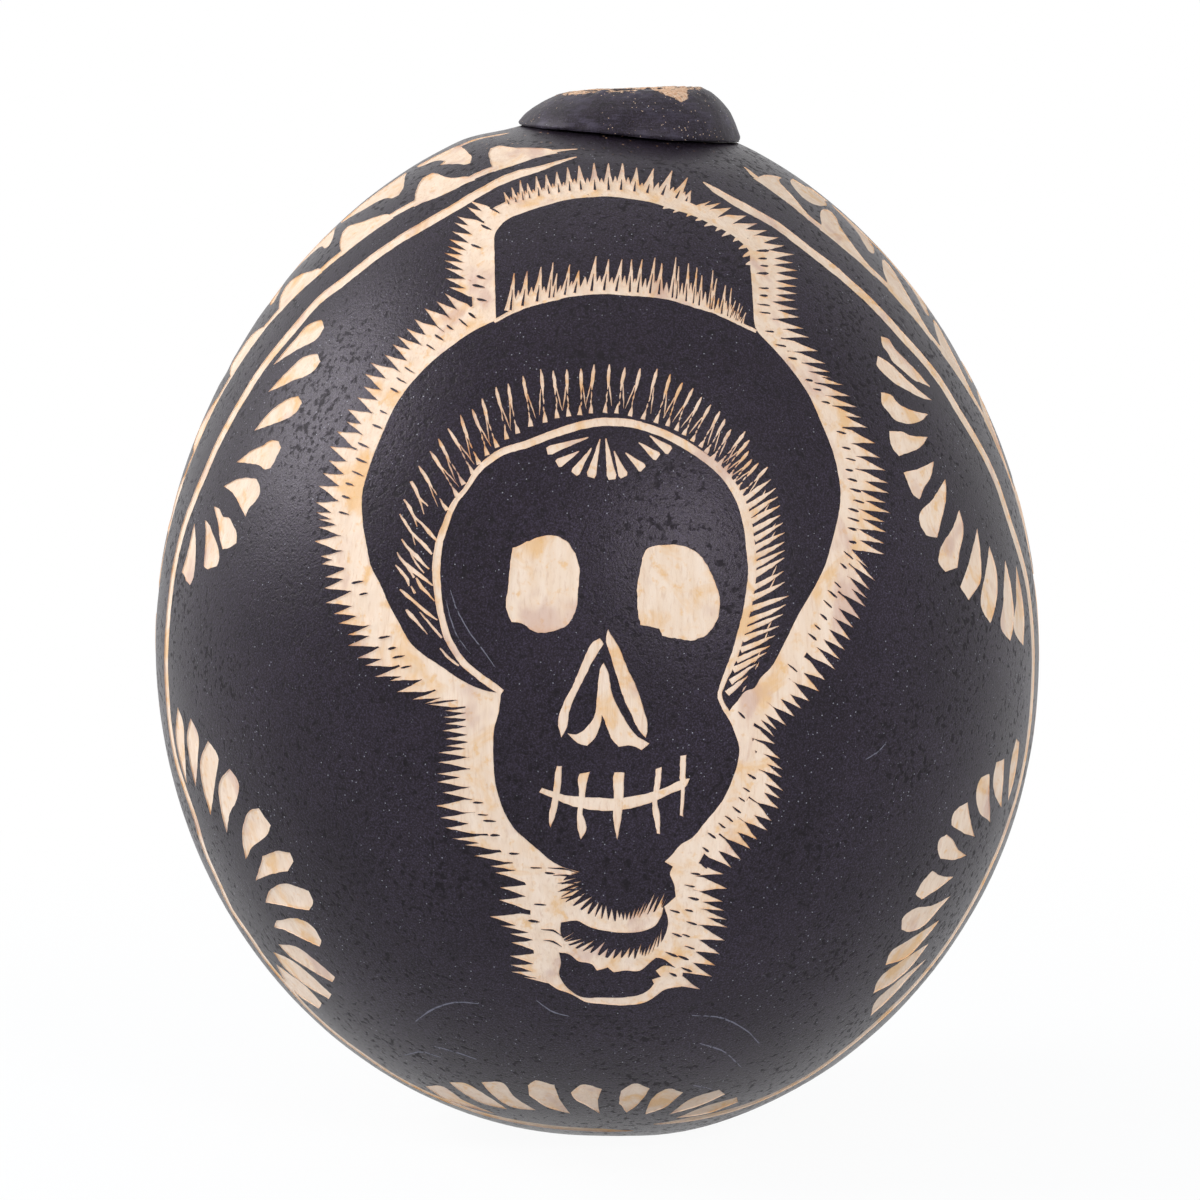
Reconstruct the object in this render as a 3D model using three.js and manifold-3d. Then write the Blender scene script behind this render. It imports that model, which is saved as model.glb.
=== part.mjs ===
// A mezcal gourd: a dried, hollow calabash that holds about a litre of spirit, with a raised ring
// plugged into its mouth, the pitch that bonds the ring, and a coat of wax that seals the inside.
// Millimetres, +Z up. The origin is the centre of the flat that the gourd stands on.

import * as THREE from "three";
import { mergeVertices } from "three/addons/utils/BufferGeometryUtils.js";
import Module from "manifold-3d";

const wasm = await Module();
wasm.setup();

// Calabash. The powers shape its outline: 2 is an ellipse, and less than 2 is more pointed.
const BELLY_RADIUS = 65;
const BELLY_TO_BLOSSOM = 73.1;
const BELLY_TO_STALK = 78.2;
const LOWER_POWER = 2;
const UPPER_POWER = 1.86;
const STAND_RADIUS = 11; // the flat sanded on the blossom end
const RIND_THICKNESS = 3.6;

// Wax coat inside
const WAX_THICKNESS = 0.8;
const WAX_CLEARANCE = 0.3;

// Mouth ring. It stands a little to one side of the stalk end, leans that way, and is taller there.
const RING_OFFSET = 4.9;
const RING_LEAN = THREE.MathUtils.degToRad(3.3);
const RING_RISE = 0.24; // share of its height that it gains on its tall side and loses opposite
const RING_RADIUS = 16.3;
const RING_HEIGHT = 6.3; // from its outer foot to where its rounded side would close
const RING_SHOULDER = 8; // radius of the circle that its rounded side is drawn about
const RING_FOOT = 0.5; // upright part of its side, under the rounding
const LIP_RADIUS = 10;
const LIP_EDGE = 0.5; // rounding between lip and bore
const BORE_RADIUS = 7.2;
const SPIGOT_WALL = 1.5;
const SPIGOT_CLEARANCE = 0.3;
const SPIGOT_STANDOUT = 1; // how far the spigot reaches past the rind, inside the gourd

// Pitch bed between ring and rind. It stops short of the ring's edge, which leaves a dark gap.
const PITCH_THICKNESS = 0.5;
const PITCH_CLEARANCE = 0.25;
const PITCH_SETBACK = 1.6;

// Faceting: facets round each surface, and steps from pole to belly or up the ring's side
const OUTSIDE_AROUND = 60;
const OUTSIDE_STEPS = 16;
const INSIDE_AROUND = 36;
const INSIDE_STEPS = 11;
const RING_AROUND = 48;
const RING_STEPS = 8;

const RIND_COLOUR = 0x2b272c;
const RING_COLOUR = 0x2e2a30;
const PITCH_COLOUR = 0x0c0a0b;
const WAX_COLOUR = 0xb98a45;

const SPIGOT_RADIUS = BORE_RADIUS + SPIGOT_WALL;
const MOUTH_RADIUS = SPIGOT_RADIUS + SPIGOT_CLEARANCE;
const SEAT_GAP = PITCH_THICKNESS + 2 * PITCH_CLEARANCE;
const RING_ACROSS = RING_RADIUS - RING_SHOULDER;
const RING_SWEEP = Math.acos((LIP_RADIUS - RING_SHOULDER) / RING_ACROSS);
const LIP_HEIGHT = RING_FOOT + (RING_HEIGHT - RING_FOOT) * Math.sin(RING_SWEEP);

// The calabash's height over its widest level at a distance from its axis, for a surface that lies
// inset from the outer one. Upper is true above the belly.
function surfaceHeight(distance, inset, upper) {
  const radius = BELLY_RADIUS - inset;
  const reach = (upper ? BELLY_TO_STALK : BELLY_TO_BLOSSOM) - inset;
  const power = upper ? UPPER_POWER : LOWER_POWER;
  const share = Math.min(distance / radius, 1);
  return reach * Math.pow(1 - Math.pow(share, power), 1 / power);
}

const BELLY_HEIGHT = surfaceHeight(STAND_RADIUS, 0, false);

// One half of the outline, from the belly to a pole, in equal turns.
function halfOutline(inset, upper, steps) {
  const radius = BELLY_RADIUS - inset;
  const reach = (upper ? BELLY_TO_STALK : BELLY_TO_BLOSSOM) - inset;
  const power = 2 / (upper ? UPPER_POWER : LOWER_POWER);
  const sign = upper ? 1 : -1;
  return Array.from({ length: steps + 1 }, (_, i) => {
    const turn = (i / steps) * (Math.PI / 2);
    const across = i === steps ? 0 : radius * Math.pow(Math.cos(turn), power);
    const height = sign * reach * Math.pow(Math.sin(turn), power);
    return new THREE.Vector2(across, BELLY_HEIGHT + height);
  });
}

// A closed solid turned about +Z from an outline of (radius, height) points.
function turned(outline, around) {
  const geometry = new THREE.LatheGeometry(outline, around).rotateX(Math.PI / 2);
  geometry.deleteAttribute("normal");
  geometry.deleteAttribute("uv");
  return mergeVertices(geometry, 1e-4);
}

function toSolid(geometry) {
  return new wasm.Manifold(
    new wasm.Mesh({
      numProp: 3,
      vertProperties: new Float32Array(geometry.attributes.position.array),
      triVerts: new Uint32Array(geometry.index.array),
    }),
  );
}

function toMesh(solid, name, colour, roughness) {
  const { numProp, vertProperties, triVerts } = solid.getMesh();
  const positions = new Float32Array((vertProperties.length / numProp) * 3);
  for (let i = 0; i < positions.length / 3; i++) {
    positions.set(vertProperties.subarray(i * numProp, i * numProp + 3), i * 3);
  }
  const geometry = new THREE.BufferGeometry();
  geometry.setAttribute("position", new THREE.BufferAttribute(positions, 3));
  geometry.setIndex(new THREE.BufferAttribute(triVerts, 1));
  geometry.computeVertexNormals();
  const material = new THREE.MeshStandardMaterial({ color: colour, roughness, metalness: 0 });
  const mesh = new THREE.Mesh(geometry, material);
  mesh.name = name;
  return mesh;
}

// The whole calabash, with no hollow, whose surface lies inset from the outer one.
function calabash(inset, around = OUTSIDE_AROUND, steps = OUTSIDE_STEPS) {
  const lower = halfOutline(inset, false, steps).reverse();
  const upper = halfOutline(inset, true, steps).slice(1);
  return turned([...lower, ...upper], around);
}

function hollow(inset) {
  return toSolid(calabash(inset, INSIDE_AROUND, INSIDE_STEPS));
}

function tube(inner, outer, bottom, top) {
  const outline = [
    new THREE.Vector2(inner, bottom),
    new THREE.Vector2(outer, bottom),
    new THREE.Vector2(outer, top),
    new THREE.Vector2(inner, top),
    new THREE.Vector2(inner, bottom),
  ];
  return toSolid(turned(outline, RING_AROUND));
}

function cylinder(radius, bottom, top) {
  const outline = [
    new THREE.Vector2(0, bottom),
    new THREE.Vector2(radius, bottom),
    new THREE.Vector2(radius, top),
    new THREE.Vector2(0, top),
  ];
  return turned(outline, RING_AROUND);
}

// The neck's frame: its origin is where the ring's axis meets the outside of the rind.
function makeNeck() {
  const neck = new THREE.Group();
  neck.position.set(RING_OFFSET, 0, BELLY_HEIGHT + surfaceHeight(RING_OFFSET, 0, true));
  neck.rotation.y = RING_LEAN;
  neck.updateMatrix();
  return neck;
}

const neck = makeNeck();
const toNeck = neck.matrix.clone().invert();

// How far the rind has dropped at the ring's edge, so that the ring's foot meets it there.
const RING_DROP = surfaceHeight(0, 0, true) - surfaceHeight(RING_RADIUS, 0, true) - SEAT_GAP;
const SPIGOT_FOOT = -(RIND_THICKNESS + SPIGOT_STANDOUT);

// The hole for the ring's spigot, which runs from deep inside the gourd to above it.
function mouthHole() {
  const hole = cylinder(MOUTH_RADIUS, -BELLY_RADIUS, RING_HEIGHT);
  return toSolid(hole.applyMatrix4(neck.matrix));
}

// Cuts the stand flat, level with the origin.
function standCut() {
  return toSolid(cylinder(BELLY_RADIUS, -BELLY_TO_BLOSSOM, 0));
}

function makeRind() {
  return toSolid(calabash(0))
    .subtract(standCut())
    .subtract(hollow(RIND_THICKNESS))
    .subtract(mouthHole());
}

function makeWax() {
  const outside = RIND_THICKNESS + WAX_CLEARANCE;
  return hollow(outside)
    .subtract(hollow(outside + WAX_THICKNESS))
    .subtract(mouthHole());
}

// The rind with a skin of the given thickness over it, seen from the neck.
function rindFromNeck(thickness) {
  return toSolid(calabash(-thickness).applyMatrix4(toNeck));
}

// The ring above its seat: an upright foot, a quarter round to the lip, the flat lip and the bore.
function ringOutline() {
  const side = Array.from({ length: RING_STEPS + 1 }, (_, i) => {
    const turn = (i / RING_STEPS) * RING_SWEEP;
    const height = RING_FOOT + (RING_HEIGHT - RING_FOOT) * Math.sin(turn);
    return new THREE.Vector2(RING_SHOULDER + RING_ACROSS * Math.cos(turn), height);
  });
  return [
    new THREE.Vector2(BORE_RADIUS, 0),
    new THREE.Vector2(RING_RADIUS, 0),
    ...side,
    new THREE.Vector2(BORE_RADIUS + LIP_EDGE, LIP_HEIGHT),
    new THREE.Vector2(BORE_RADIUS, LIP_HEIGHT - LIP_EDGE),
    new THREE.Vector2(BORE_RADIUS, 0),
  ];
}

// How much taller the ring is at this distance towards its tall side, as a factor.
function ringRise(towardsTall) {
  return 1 + (RING_RISE * towardsTall) / RING_RADIUS;
}

// Stretches the ring upwards on its tall side and less opposite, then drops it to its seat.
function leanTop(geometry) {
  const position = geometry.attributes.position;
  for (let i = 0; i < position.count; i++) {
    position.setZ(i, position.getZ(i) * ringRise(position.getX(i)) - RING_DROP);
  }
  return geometry;
}

// The spigot grows out of the ring halfway between the seat and the low side of the lip.
function makeRing() {
  const crown = toSolid(leanTop(turned(ringOutline(), RING_AROUND)));
  const lowLip = LIP_HEIGHT * ringRise(-LIP_RADIUS) - RING_DROP;
  const spigot = tube(BORE_RADIUS, SPIGOT_RADIUS, SPIGOT_FOOT, (SEAT_GAP + lowLip) / 2);
  return crown.subtract(rindFromNeck(SEAT_GAP)).add(spigot);
}

function makePitch() {
  const sheet = rindFromNeck(PITCH_CLEARANCE + PITCH_THICKNESS).subtract(
    rindFromNeck(PITCH_CLEARANCE),
  );
  const bed = tube(MOUTH_RADIUS, RING_RADIUS - PITCH_SETBACK, -RING_RADIUS, RING_HEIGHT);
  return sheet.intersect(bed);
}

const gourd = new THREE.Group();
gourd.add(toMesh(makeRind(), "gourd_shell", RIND_COLOUR, 0.55));
gourd.add(toMesh(makeWax(), "wax_lining", WAX_COLOUR, 0.4));
neck.add(toMesh(makePitch(), "pitch_seal", PITCH_COLOUR, 0.3));
neck.add(toMesh(makeRing(), "mouth_ring", RING_COLOUR, 0.6));
gourd.add(neck);

export default gourd;
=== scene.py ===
"""A mezcal gourd: a dyed calabash carved with a skull in a hat, with a ring round its open mouth.

The carving is drawn as flat outlines, laid on the rind and cut into it. An outline is either seen
from the front, in pixels of the 1200 by 1200 photograph, or given as (bearing, height) on the rind.
Bearings are in degrees round +Z from the front, with the right-hand side positive. Other lengths in
the drawing are in mm, and the finished meshes and the settings are in metres.
"""

import math
import random

import bmesh
import bpy
from bpy.props import FloatProperty, FloatVectorProperty, PointerProperty
from mathutils import Matrix, Vector, geometry, kdtree, noise


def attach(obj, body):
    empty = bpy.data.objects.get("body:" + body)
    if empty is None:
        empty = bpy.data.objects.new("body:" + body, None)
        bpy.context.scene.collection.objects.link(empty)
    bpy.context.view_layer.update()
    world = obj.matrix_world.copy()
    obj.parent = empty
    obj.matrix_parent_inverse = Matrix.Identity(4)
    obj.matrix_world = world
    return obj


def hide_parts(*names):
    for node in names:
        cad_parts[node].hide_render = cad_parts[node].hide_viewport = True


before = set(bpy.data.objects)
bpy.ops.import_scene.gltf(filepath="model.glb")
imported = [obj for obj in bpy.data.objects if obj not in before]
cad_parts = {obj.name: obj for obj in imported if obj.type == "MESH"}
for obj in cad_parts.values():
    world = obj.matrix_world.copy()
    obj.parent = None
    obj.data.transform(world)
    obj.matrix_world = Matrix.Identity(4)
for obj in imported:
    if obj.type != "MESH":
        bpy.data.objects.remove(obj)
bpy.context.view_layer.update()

bl_info = {
    "name": "Mezcal Gourd",
    "version": (1, 0, 0),
    "blender": (4, 5, 0),
    "location": "View3D > Sidebar > Gourd",
    "description": "Builds a carved and dyed calabash bottle",
    "category": "Add Mesh",
}

MM = 0.001
WHITE = (1, 1, 1, 1)
SHEEN_TINT = (0.96, 0.87, 1.0, 1.0)  # of the light that the dye mirrors

# Powers of the two half curves of the grown form, where 2 gives an ellipse
UPPER_POWER = 1.86
LOWER_POWER = 2.0
FULLNESS = 0.88  # mm that the rind stands out past the grown form at its lower right

# The photograph's view: how far the eye stands off, how high it looks from, and what it looks at.
PICTURE_SIZE = 1200
PIXEL = 0.1467
EYE_DISTANCE = 800.0
EYE_RISE = math.radians(6.5)
EYE_TARGET = Vector((0.44, 0.0, 77.9))
EYE_LENS = 163.0
EYE_SENSOR = 36.0
NEAREST = EYE_DISTANCE - 90  # the rind is looked for between these distances from the eye
FARTHEST = EYE_DISTANCE + 40

# Steps in mm: along outlines, along border lines, over the outer skin, and over the inner ones
LINE_STEP = 0.52
BORDER_STEP = 1.5
GRID_STEP = 1.9
INSIDE_STEP = 5.0
WAX_STEP = 4.0

MOUTH_STEPS = 128  # points round the mouth hole
SAME_SPOT = 2e-5  # chart points that lie closer are one
CORNER = math.radians(50)  # a drawn line is sharp where it turns by more
CREASE = math.radians(38)  # an edge of a piece is sharp where it turns by more
LEVEL = 0.01  # mm that a height can be off and still count as level

# The ring: its segments and the bed's, the chamfer of its spigot in mm, and where its crown has a knob
# and a patch of raw wood, in degrees
RING_STEPS = 192
PITCH_STEPS = 120
CHAMFER = 0.4
KNOB_BEARING = -24
PATCH_BEARING = 34

SEED = 11  # of all that is left to chance, so that every gourd comes out the same

# What an outline does to the rind
KEEP = 0
CUT = 1
SCUFF = 2
BARE = 3

# Hat, face and neck

HALO_BAND = (
    (478, 226), (484, 209), (500, 199), (530, 193), (570, 190), (620, 190), (665, 191), (690, 197),
    (712, 208), (735, 222), (755, 238), (768, 250), (772, 270), (776, 290), (774, 310), (782, 326),
    (788, 342), (806, 365), (824, 386), (840, 408), (852, 440), (861, 470), (865, 495), (862, 520),
    (857, 552), (850, 578), (838, 602), (824, 632), (806, 662), (786, 690), (765, 712), (757, 733),
    (762, 758), (764, 780), (752, 802), (740, 822), (722, 838), (706, 860), (697, 880), (700, 905),
    (700, 930), (692, 950), (688, 972), (684, 990), (667, 994), (657, 1001), (646, 1007), (629, 1010),
    (602, 1009), (586, 1007), (570, 999), (554, 993), (543, 985), (534, 979), (530, 965), (529, 945),
    (526, 926), (525, 900), (515, 872), (500, 857), (488, 842), (474, 822), (467, 795), (465, 760),
    (462, 735), (461, 704), (439, 699), (428, 690), (416, 682), (403, 675), (392, 664), (378, 655),
    (368, 632), (358, 609), (350, 598), (341, 585), (339, 563), (337, 545), (334, 520), (333, 500),
    (337, 486), (343, 472), (352, 447), (358, 433), (368, 411), (381, 392), (397, 368), (410, 350),
    (426, 335), (440, 328), (457, 311), (468, 304), (467, 288), (464, 268), (464, 250), (468, 235),
)

HALO_ROOTS = 4.5  # pixels from the band's edge in to where the notches between the teeth end
WIDEST_TOOTH = 14  # pixels

# Halo teeth in runs: the tips, and how a tooth's root lies from its tip at the run's two ends
HALO_TEETH = (
    (((469, 200), (467, 207), (457, 216), (454, 222), (452, 231), (449, 239), (447, 246), (444, 252),
      (444, 260), (445, 268), (445, 278), (449, 287)), (17, 9), (21, 5)),
    (((444, 293), (436, 301), (424, 308), (414, 319), (406, 328), (397, 336), (392, 344), (384, 354),
      (370, 362), (364, 373), (363, 386), (357, 397), (347, 409), (346, 421), (336, 431), (329, 446)),
     (18, 14), (19, 8)),
    (((328, 460), (322, 473), (318, 486), (315, 502), (315, 512), (317, 519), (318, 527), (314, 541),
      (320, 556)), (19, 8), (24, 1)),
    (((321, 564), (325, 577), (324, 588), (325, 603), (333, 614), (338, 624), (347, 635), (347, 646),
      (356, 658), (364, 666), (374, 677), (389, 681), (396, 692), (412, 700), (423, 704)),
     (22, -3), (30, -7)),
    (((427, 705), (444, 711), (443, 717), (444, 724), (442, 731), (445, 739), (445, 746), (438, 753),
      (438, 763), (437, 774), (437, 782), (442, 793), (436, 806), (440, 818), (445, 828), (452, 839),
      (465, 845), (474, 856), (490, 866)), (25, -1), (30, 1)),
    (((495, 873), (500, 888), (499, 900), (490, 917), (501, 926), (510, 934), (511, 943), (510, 956),
      (510, 965), (511, 972), (524, 978)), (30, 3), (20, 3)),
    (((712, 200), (721, 202), (732, 207), (747, 215), (758, 223), (768, 230), (779, 237), (785, 245),
      (795, 254)), (-16, 8), (-23, 0)),
    (((794, 262), (798, 270), (799, 278), (798, 286), (798, 293), (796, 300), (799, 309), (800, 317),
      (804, 328), (810, 337)), (-22, -1), (-26, -4)),
    (((819, 351), (826, 363), (831, 372), (832, 378), (844, 385), (851, 396), (858, 407), (862, 417),
      (868, 427), (876, 443), (881, 457), (886, 470)), (-25, -5), (-26, -7)),
    (((889, 483), (890, 493), (887, 503), (891, 513), (886, 522), (887, 532), (885, 543), (885, 554)),
     (-25, -7), (-27, -9)),
    (((869, 568), (876, 581), (871, 590), (868, 599), (866, 607), (861, 620), (854, 628), (851, 640),
      (845, 650), (840, 660), (836, 670)), (-19, -17), (-19, -16)),
    (((826, 680), (820, 692), (810, 702), (802, 709), (795, 717), (787, 726), (778, 730), (775, 737)),
     (-19, -13), (-18, -17)),
    (((776, 744), (781, 759), (784, 770), (783, 778), (784, 791), (781, 799), (779, 809), (772, 821),
      (768, 831), (758, 840), (751, 849), (741, 860), (732, 868)), (-19, -10), (-19, -15)),
    (((724, 874), (727, 889), (723, 902), (725, 911), (727, 920), (728, 928), (725, 941), (720, 954),
      (716, 966), (712, 977), (700, 990)), (-27, -4), (-25, -11)),
)

# Spires over the crown, as (tip, foot)
CROWN_SPIRES = (
    ((504, 192), (509, 204)), ((512, 187), (516, 202)), ((520, 180), (523, 200)), ((527, 183), (530, 198)),
    ((536, 176), (539, 196)), ((546, 174.5), (549, 194)), ((556.5, 171.5), (559, 192.5)),
    ((567.5, 167), (570, 191)), ((579, 165), (581, 190)), ((594, 162.5), (595, 190)),
    ((608.5, 162.5), (608.5, 190)), ((622.5, 162.5), (621, 190)), ((637, 167), (634, 191.5)),
    ((654, 168), (647, 193)), ((672.5, 170), (662, 195)), ((687.5, 177), (676, 198)),
    ((691, 190), (686, 201)),
)

HALO_FLECKS = (
    (495, 210), (486, 227), (476, 246), (481, 277), (479, 286), (482, 299), (472, 315), (463, 322),
    (450, 327), (439, 337), (430, 347), (409, 370), (401, 380), (394, 390), (383, 412), (377, 426),
    (363, 445), (361, 460), (357, 473), (349, 484), (346, 497), (343, 513), (357, 582), (363, 594),
    (384, 637), (392, 648), (398, 657), (406, 667), (478, 803), (483, 815), (489, 821), (495, 835),
    (514, 854), (536, 868), (550, 874), (763, 250), (763, 258), (765, 265), (763, 273), (764, 288),
    (764, 295), (764, 304), (765, 312), (770, 331), (781, 345), (793, 358), (810, 380), (818, 389),
    (826, 402), (842, 432), (847, 448), (851, 459), (850, 470), (853, 480), (856, 490), (859, 501),
    (854, 510), (854, 519), (853, 529), (853, 542), (849, 555), (844, 566), (838, 584), (833, 594),
    (828, 604), (824, 617), (818, 627), (813, 637), (793, 668), (742, 715), (752, 777), (747, 790),
    (742, 800), (737, 810), (729, 819), (722, 826), (534, 922), (540, 905), (706, 850), (712, 836),
    (704, 866), (696, 874), (690, 886), (694, 899), (689, 911), (692, 924), (686, 936), (690, 948),
    (683, 958), (687, 970), (675, 912), (677, 935), (672, 955), (673, 975),
)

HEAD = (
    (496, 320), (495, 290), (494.5, 255), (495.5, 232), (501, 224.5), (509, 218), (523, 212.5), (546, 205),
    (566, 199.5), (585, 197), (608, 196), (632, 198.5), (656, 203), (671, 208), (693, 215), (713, 224.5),
    (727, 231), (740, 240.5), (749, 250), (750.5, 266), (752, 286), (753.5, 305), (756, 327), (774, 348),
    (790, 367), (809, 394), (821, 420), (831, 444), (838, 470), (841, 501), (833, 539), (825, 566),
    (811, 594), (797, 618), (782, 648), (770, 669), (761, 678), (755, 688), (745, 692), (738, 701),
    (731, 709), (728, 714), (734, 730), (739, 745), (738, 762), (732, 781), (724, 799), (706, 822),
    (693, 838), (680, 846), (673, 854), (665, 862), (673, 867), (670, 873), (674, 885), (676, 897),
    (661, 909), (645, 916), (632, 920), (618, 922), (605, 920), (592, 916), (577, 908), (563, 900),
    (559, 888), (566, 877), (579, 872), (562, 867), (551, 861), (538, 850), (526, 840), (517, 832),
    (504, 812), (496, 786), (493, 748), (494, 728), (499, 711), (501, 693), (486, 691), (466, 683),
    (443, 668), (425, 656), (412, 645), (397, 620), (389, 606), (379, 583), (371, 568), (366, 543),
    (362, 519), (362, 494), (370, 463), (381, 436), (393, 409), (411, 383), (430, 363), (453, 344),
    (476, 329),
)

HAT_BAND = (
    (494, 321), (512, 311), (526, 306), (551, 299), (578, 293.5), (605, 292), (632, 293.5), (659, 296),
    (685, 302.5), (712, 311), (730, 318.5), (757, 331),
)
HAT_BAND_TIPS = (
    (514, 273), (527, 271), (541, 266), (553, 262), (557, 273), (570, 264), (579, 270), (596, 256),
    (609, 259), (622, 259), (632, 259), (642, 259), (655, 257), (662, 263), (676, 257), (679, 266),
    (689, 263), (697, 267), (702, 275), (713, 270), (717, 278), (726, 285), (732, 288), (736, 300),
    (740, 303), (743, 306), (746, 312),
)
HAT_BAND_LEAN = 4.5  # pixels that a spire's foot lies to the left of its tip
HAT_BAND_WIDTH = 3.6  # pixels

# Nicks in the crown's upper right edge, as (foot, tip)
CROWN_NICKS = (
    ((668, 205), (660, 209)), ((680, 208), (671, 213)), ((692, 212), (684, 218)), ((702, 217), (692, 222)),
    ((712, 222), (701, 227)), ((721, 226), (713, 233)), ((730, 231), (720, 237)), ((739, 237), (731, 243)),
    ((747, 244), (738, 249)), ((751, 252), (742, 257)), ((752, 262), (744, 265)),
)

BRIM_LINE = (
    (502, 692), (496, 688), (479, 676), (461, 660), (449, 641), (442, 618), (438, 593), (436, 567),
    (440, 540), (447, 519), (454, 503), (466, 488), (478, 470), (499, 453), (527, 444), (564, 430),
    (600, 422), (626, 422), (659, 432), (691, 448), (717, 467), (735, 489), (745, 512), (749, 530),
    (752, 555), (751, 587), (747, 612), (741, 635), (734, 657), (729, 669), (723, 684), (720, 695),
    (724, 707), (730, 717), (737, 731),
)
BRIM_LINE_WIDTHS = (
    5, 7, 7, 7, 6.5, 6.5, 7, 8, 7.5, 6, 5.5, 5, 6, 7, 7.5, 8, 8, 8, 8, 8, 8, 8.5, 9, 9, 9, 8.5, 8, 7.5, 7,
    6.5, 5, 4.5, 5, 5, 4,
)

# Straw marks of the brim: the outer tip, and the droplet's lower end by the line
BRIM_STRAWS = (
    ((419, 466), (447, 510)), ((430, 451), (457, 496)), ((438, 439), (464, 484)), ((448, 428), (473, 473)),
    ((460, 415), (479, 464)), ((472, 409), (487, 455)), ((482, 398), (497, 447)), ((496, 387), (507, 439)),
    ((508, 383), (518, 433)), ((523, 376), (531, 426)), ((541, 369), (545, 422)), ((553, 370), (557, 418)),
    ((567, 369), (569, 416)), ((581, 368), (580, 415)), ((594, 364), (591, 413)), ((610, 364), (605, 412)),
    ((625, 367), (617, 413)), ((640, 368), (630, 416)), ((657, 368), (643, 419)), ((671, 374), (656, 423)),
    ((682, 382), (667, 426)), ((693, 388), (676, 430)), ((702, 397), (684, 435)), ((711, 405), (692, 441)),
    ((720, 411), (700, 447)), ((725, 419), (706, 453)), ((731, 429), (712, 458)), ((746, 431), (718, 465)),
    ((750, 440), (724, 471)), ((749, 451), (729, 477)), ((752, 459), (733, 483)), ((759, 463), (737, 489)),
    ((768, 467), (741, 494)),
)

# Close strokes at the right of the brim, as (tip, foot)
BRIM_SHADE = (
    ((772, 479), (745, 499)), ((776, 488), (749, 506)), ((778, 496), (752, 513)), ((780, 505), (754, 520)),
    ((781, 515), (755, 529)), ((783, 523), (757, 538)), ((785, 532), (757, 547)), ((785, 541), (758, 556)),
    ((785, 550), (757, 565)), ((785, 558), (757, 574)), ((784, 571), (756, 587)), ((785, 582), (755, 597)),
    ((789, 596), (754, 608)), ((786, 605), (750, 621)), ((783, 614), (748, 630)), ((779, 626), (746, 638)),
    ((775, 636), (744, 649)), ((770, 645), (740, 659)), ((767, 653), (736, 669)), ((757, 664), (733, 680)),
    ((748, 676), (729, 692)),
)

# Longer cuts at the left of the brim, as (x, y, width) from tip to foot
BRIM_CUTS = (
    ((411, 481, 2.5), (416, 490, 4), (419, 497, 2.5), (428, 506, 1.2)),
    ((418, 495, 2), (424, 514, 1)),
    ((404, 499, 2), (410, 508, 3.5), (414, 516, 2.5), (422, 524, 2), (429, 532, 4.5), (436, 540, 2)),
    ((413, 515, 2), (417, 527, 1)),
    ((399, 514, 1.5), (405, 523, 3.2), (411, 532, 2.2), (425, 546, 4), (432, 554, 2)),
    ((411, 532, 1.5), (415, 545, 1)),
    ((401, 539, 1.5), (406, 546, 2.5), (416, 556, 4.8), (422, 562, 3), (429, 569, 1.5)),
    ((408, 548, 1.2), (418, 566, 2), (424, 573, 1)),
    ((397, 552, 1.2), (403, 561, 3), (409, 567, 4.5), (418, 574, 4), (426, 580, 3), (432, 585, 1.2)),
    ((406, 565, 2), (414, 577, 2.5)),
    ((395, 565, 1.2), (401, 572, 3), (407, 580, 3.5), (409, 586, 1)),
    ((411, 586, 2), (415, 593, 2.5)),
    ((416, 578, 1.5), (421, 587, 4), (426, 592, 2.5), (434, 601, 1.2)),
    ((399, 589, 1.5), (406, 595, 3.5), (418, 605, 3), (428, 613, 3.6), (437, 620, 1.2)),
    ((406, 610, 2), (411, 616, 5), (416, 621, 3.5), (421, 627, 2), (427, 634, 1)),
    ((419, 612, 1), (427, 620, 2), (434, 628, 2.6), (442, 637, 2)),
    ((440, 648, 1.5), (446, 655, 2.6), (452, 661, 2.6), (459, 666, 2)),
)

# Wedges of the fan on the forehead, as (tip, wide end)
FOREHEAD_FAN = (
    ((588, 437), (547, 451)), ((579, 451), (557, 464)), ((591, 448), (574, 474)), ((600, 439), (591, 477)),
    ((606, 438), (612, 479)), ((614, 451), (624, 477)), ((626, 453), (644, 469)), ((639, 442), (658, 457)),
    ((650, 436), (670, 451)),
)
LEFT_EYE = (
    (512, 548), (530, 541), (548, 536), (563, 539), (575, 554), (579, 572), (578, 595), (576, 613),
    (568, 625), (555, 630), (542, 632), (532, 630), (522, 623), (512, 622), (507, 610), (508, 582),
)
RIGHT_EYE = (
    (648, 548), (662, 545), (688, 547), (700, 555), (707, 565), (715, 581), (720, 597), (716, 623),
    (706, 635), (695, 640), (678, 639), (662, 636), (659, 629), (641, 624), (638, 603), (639, 577),
    (643, 557),
)
NOSE_LEFT = (
    (600, 638), (594, 641), (583, 661), (573, 684), (563, 705), (558, 723), (562, 737), (566, 730),
    (569, 713), (578, 690), (586, 674), (596, 656), (604, 644),
)
NOSE_RIGHT = (
    (608, 629), (606, 639), (611, 659), (618, 679), (624, 700), (632, 715), (639, 730), (646, 738),
    (648, 725), (643, 707), (637, 690), (628, 669), (619, 649), (611, 634),
)
NOSE_MIDDLE = (
    (604, 663), (607, 669), (611, 690), (618, 707), (627, 723), (639, 737), (650, 744), (642, 750),
    (632, 746), (619, 747), (611, 738), (607, 728), (602, 715), (599, 730), (593, 741), (587, 746),
    (576, 742), (567, 733), (576, 734), (586, 728), (595, 715), (597, 697), (599, 677), (601, 667),
)
MOUTH_LINE = (
    (542, 788), (558, 793), (578, 797), (599, 798), (621, 798), (645, 794), (665, 788), (680, 781),
    (690, 779), (687, 786), (673, 793), (650, 803), (624, 810), (599, 811), (573, 806), (555, 799),
    (539, 792),
)
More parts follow.
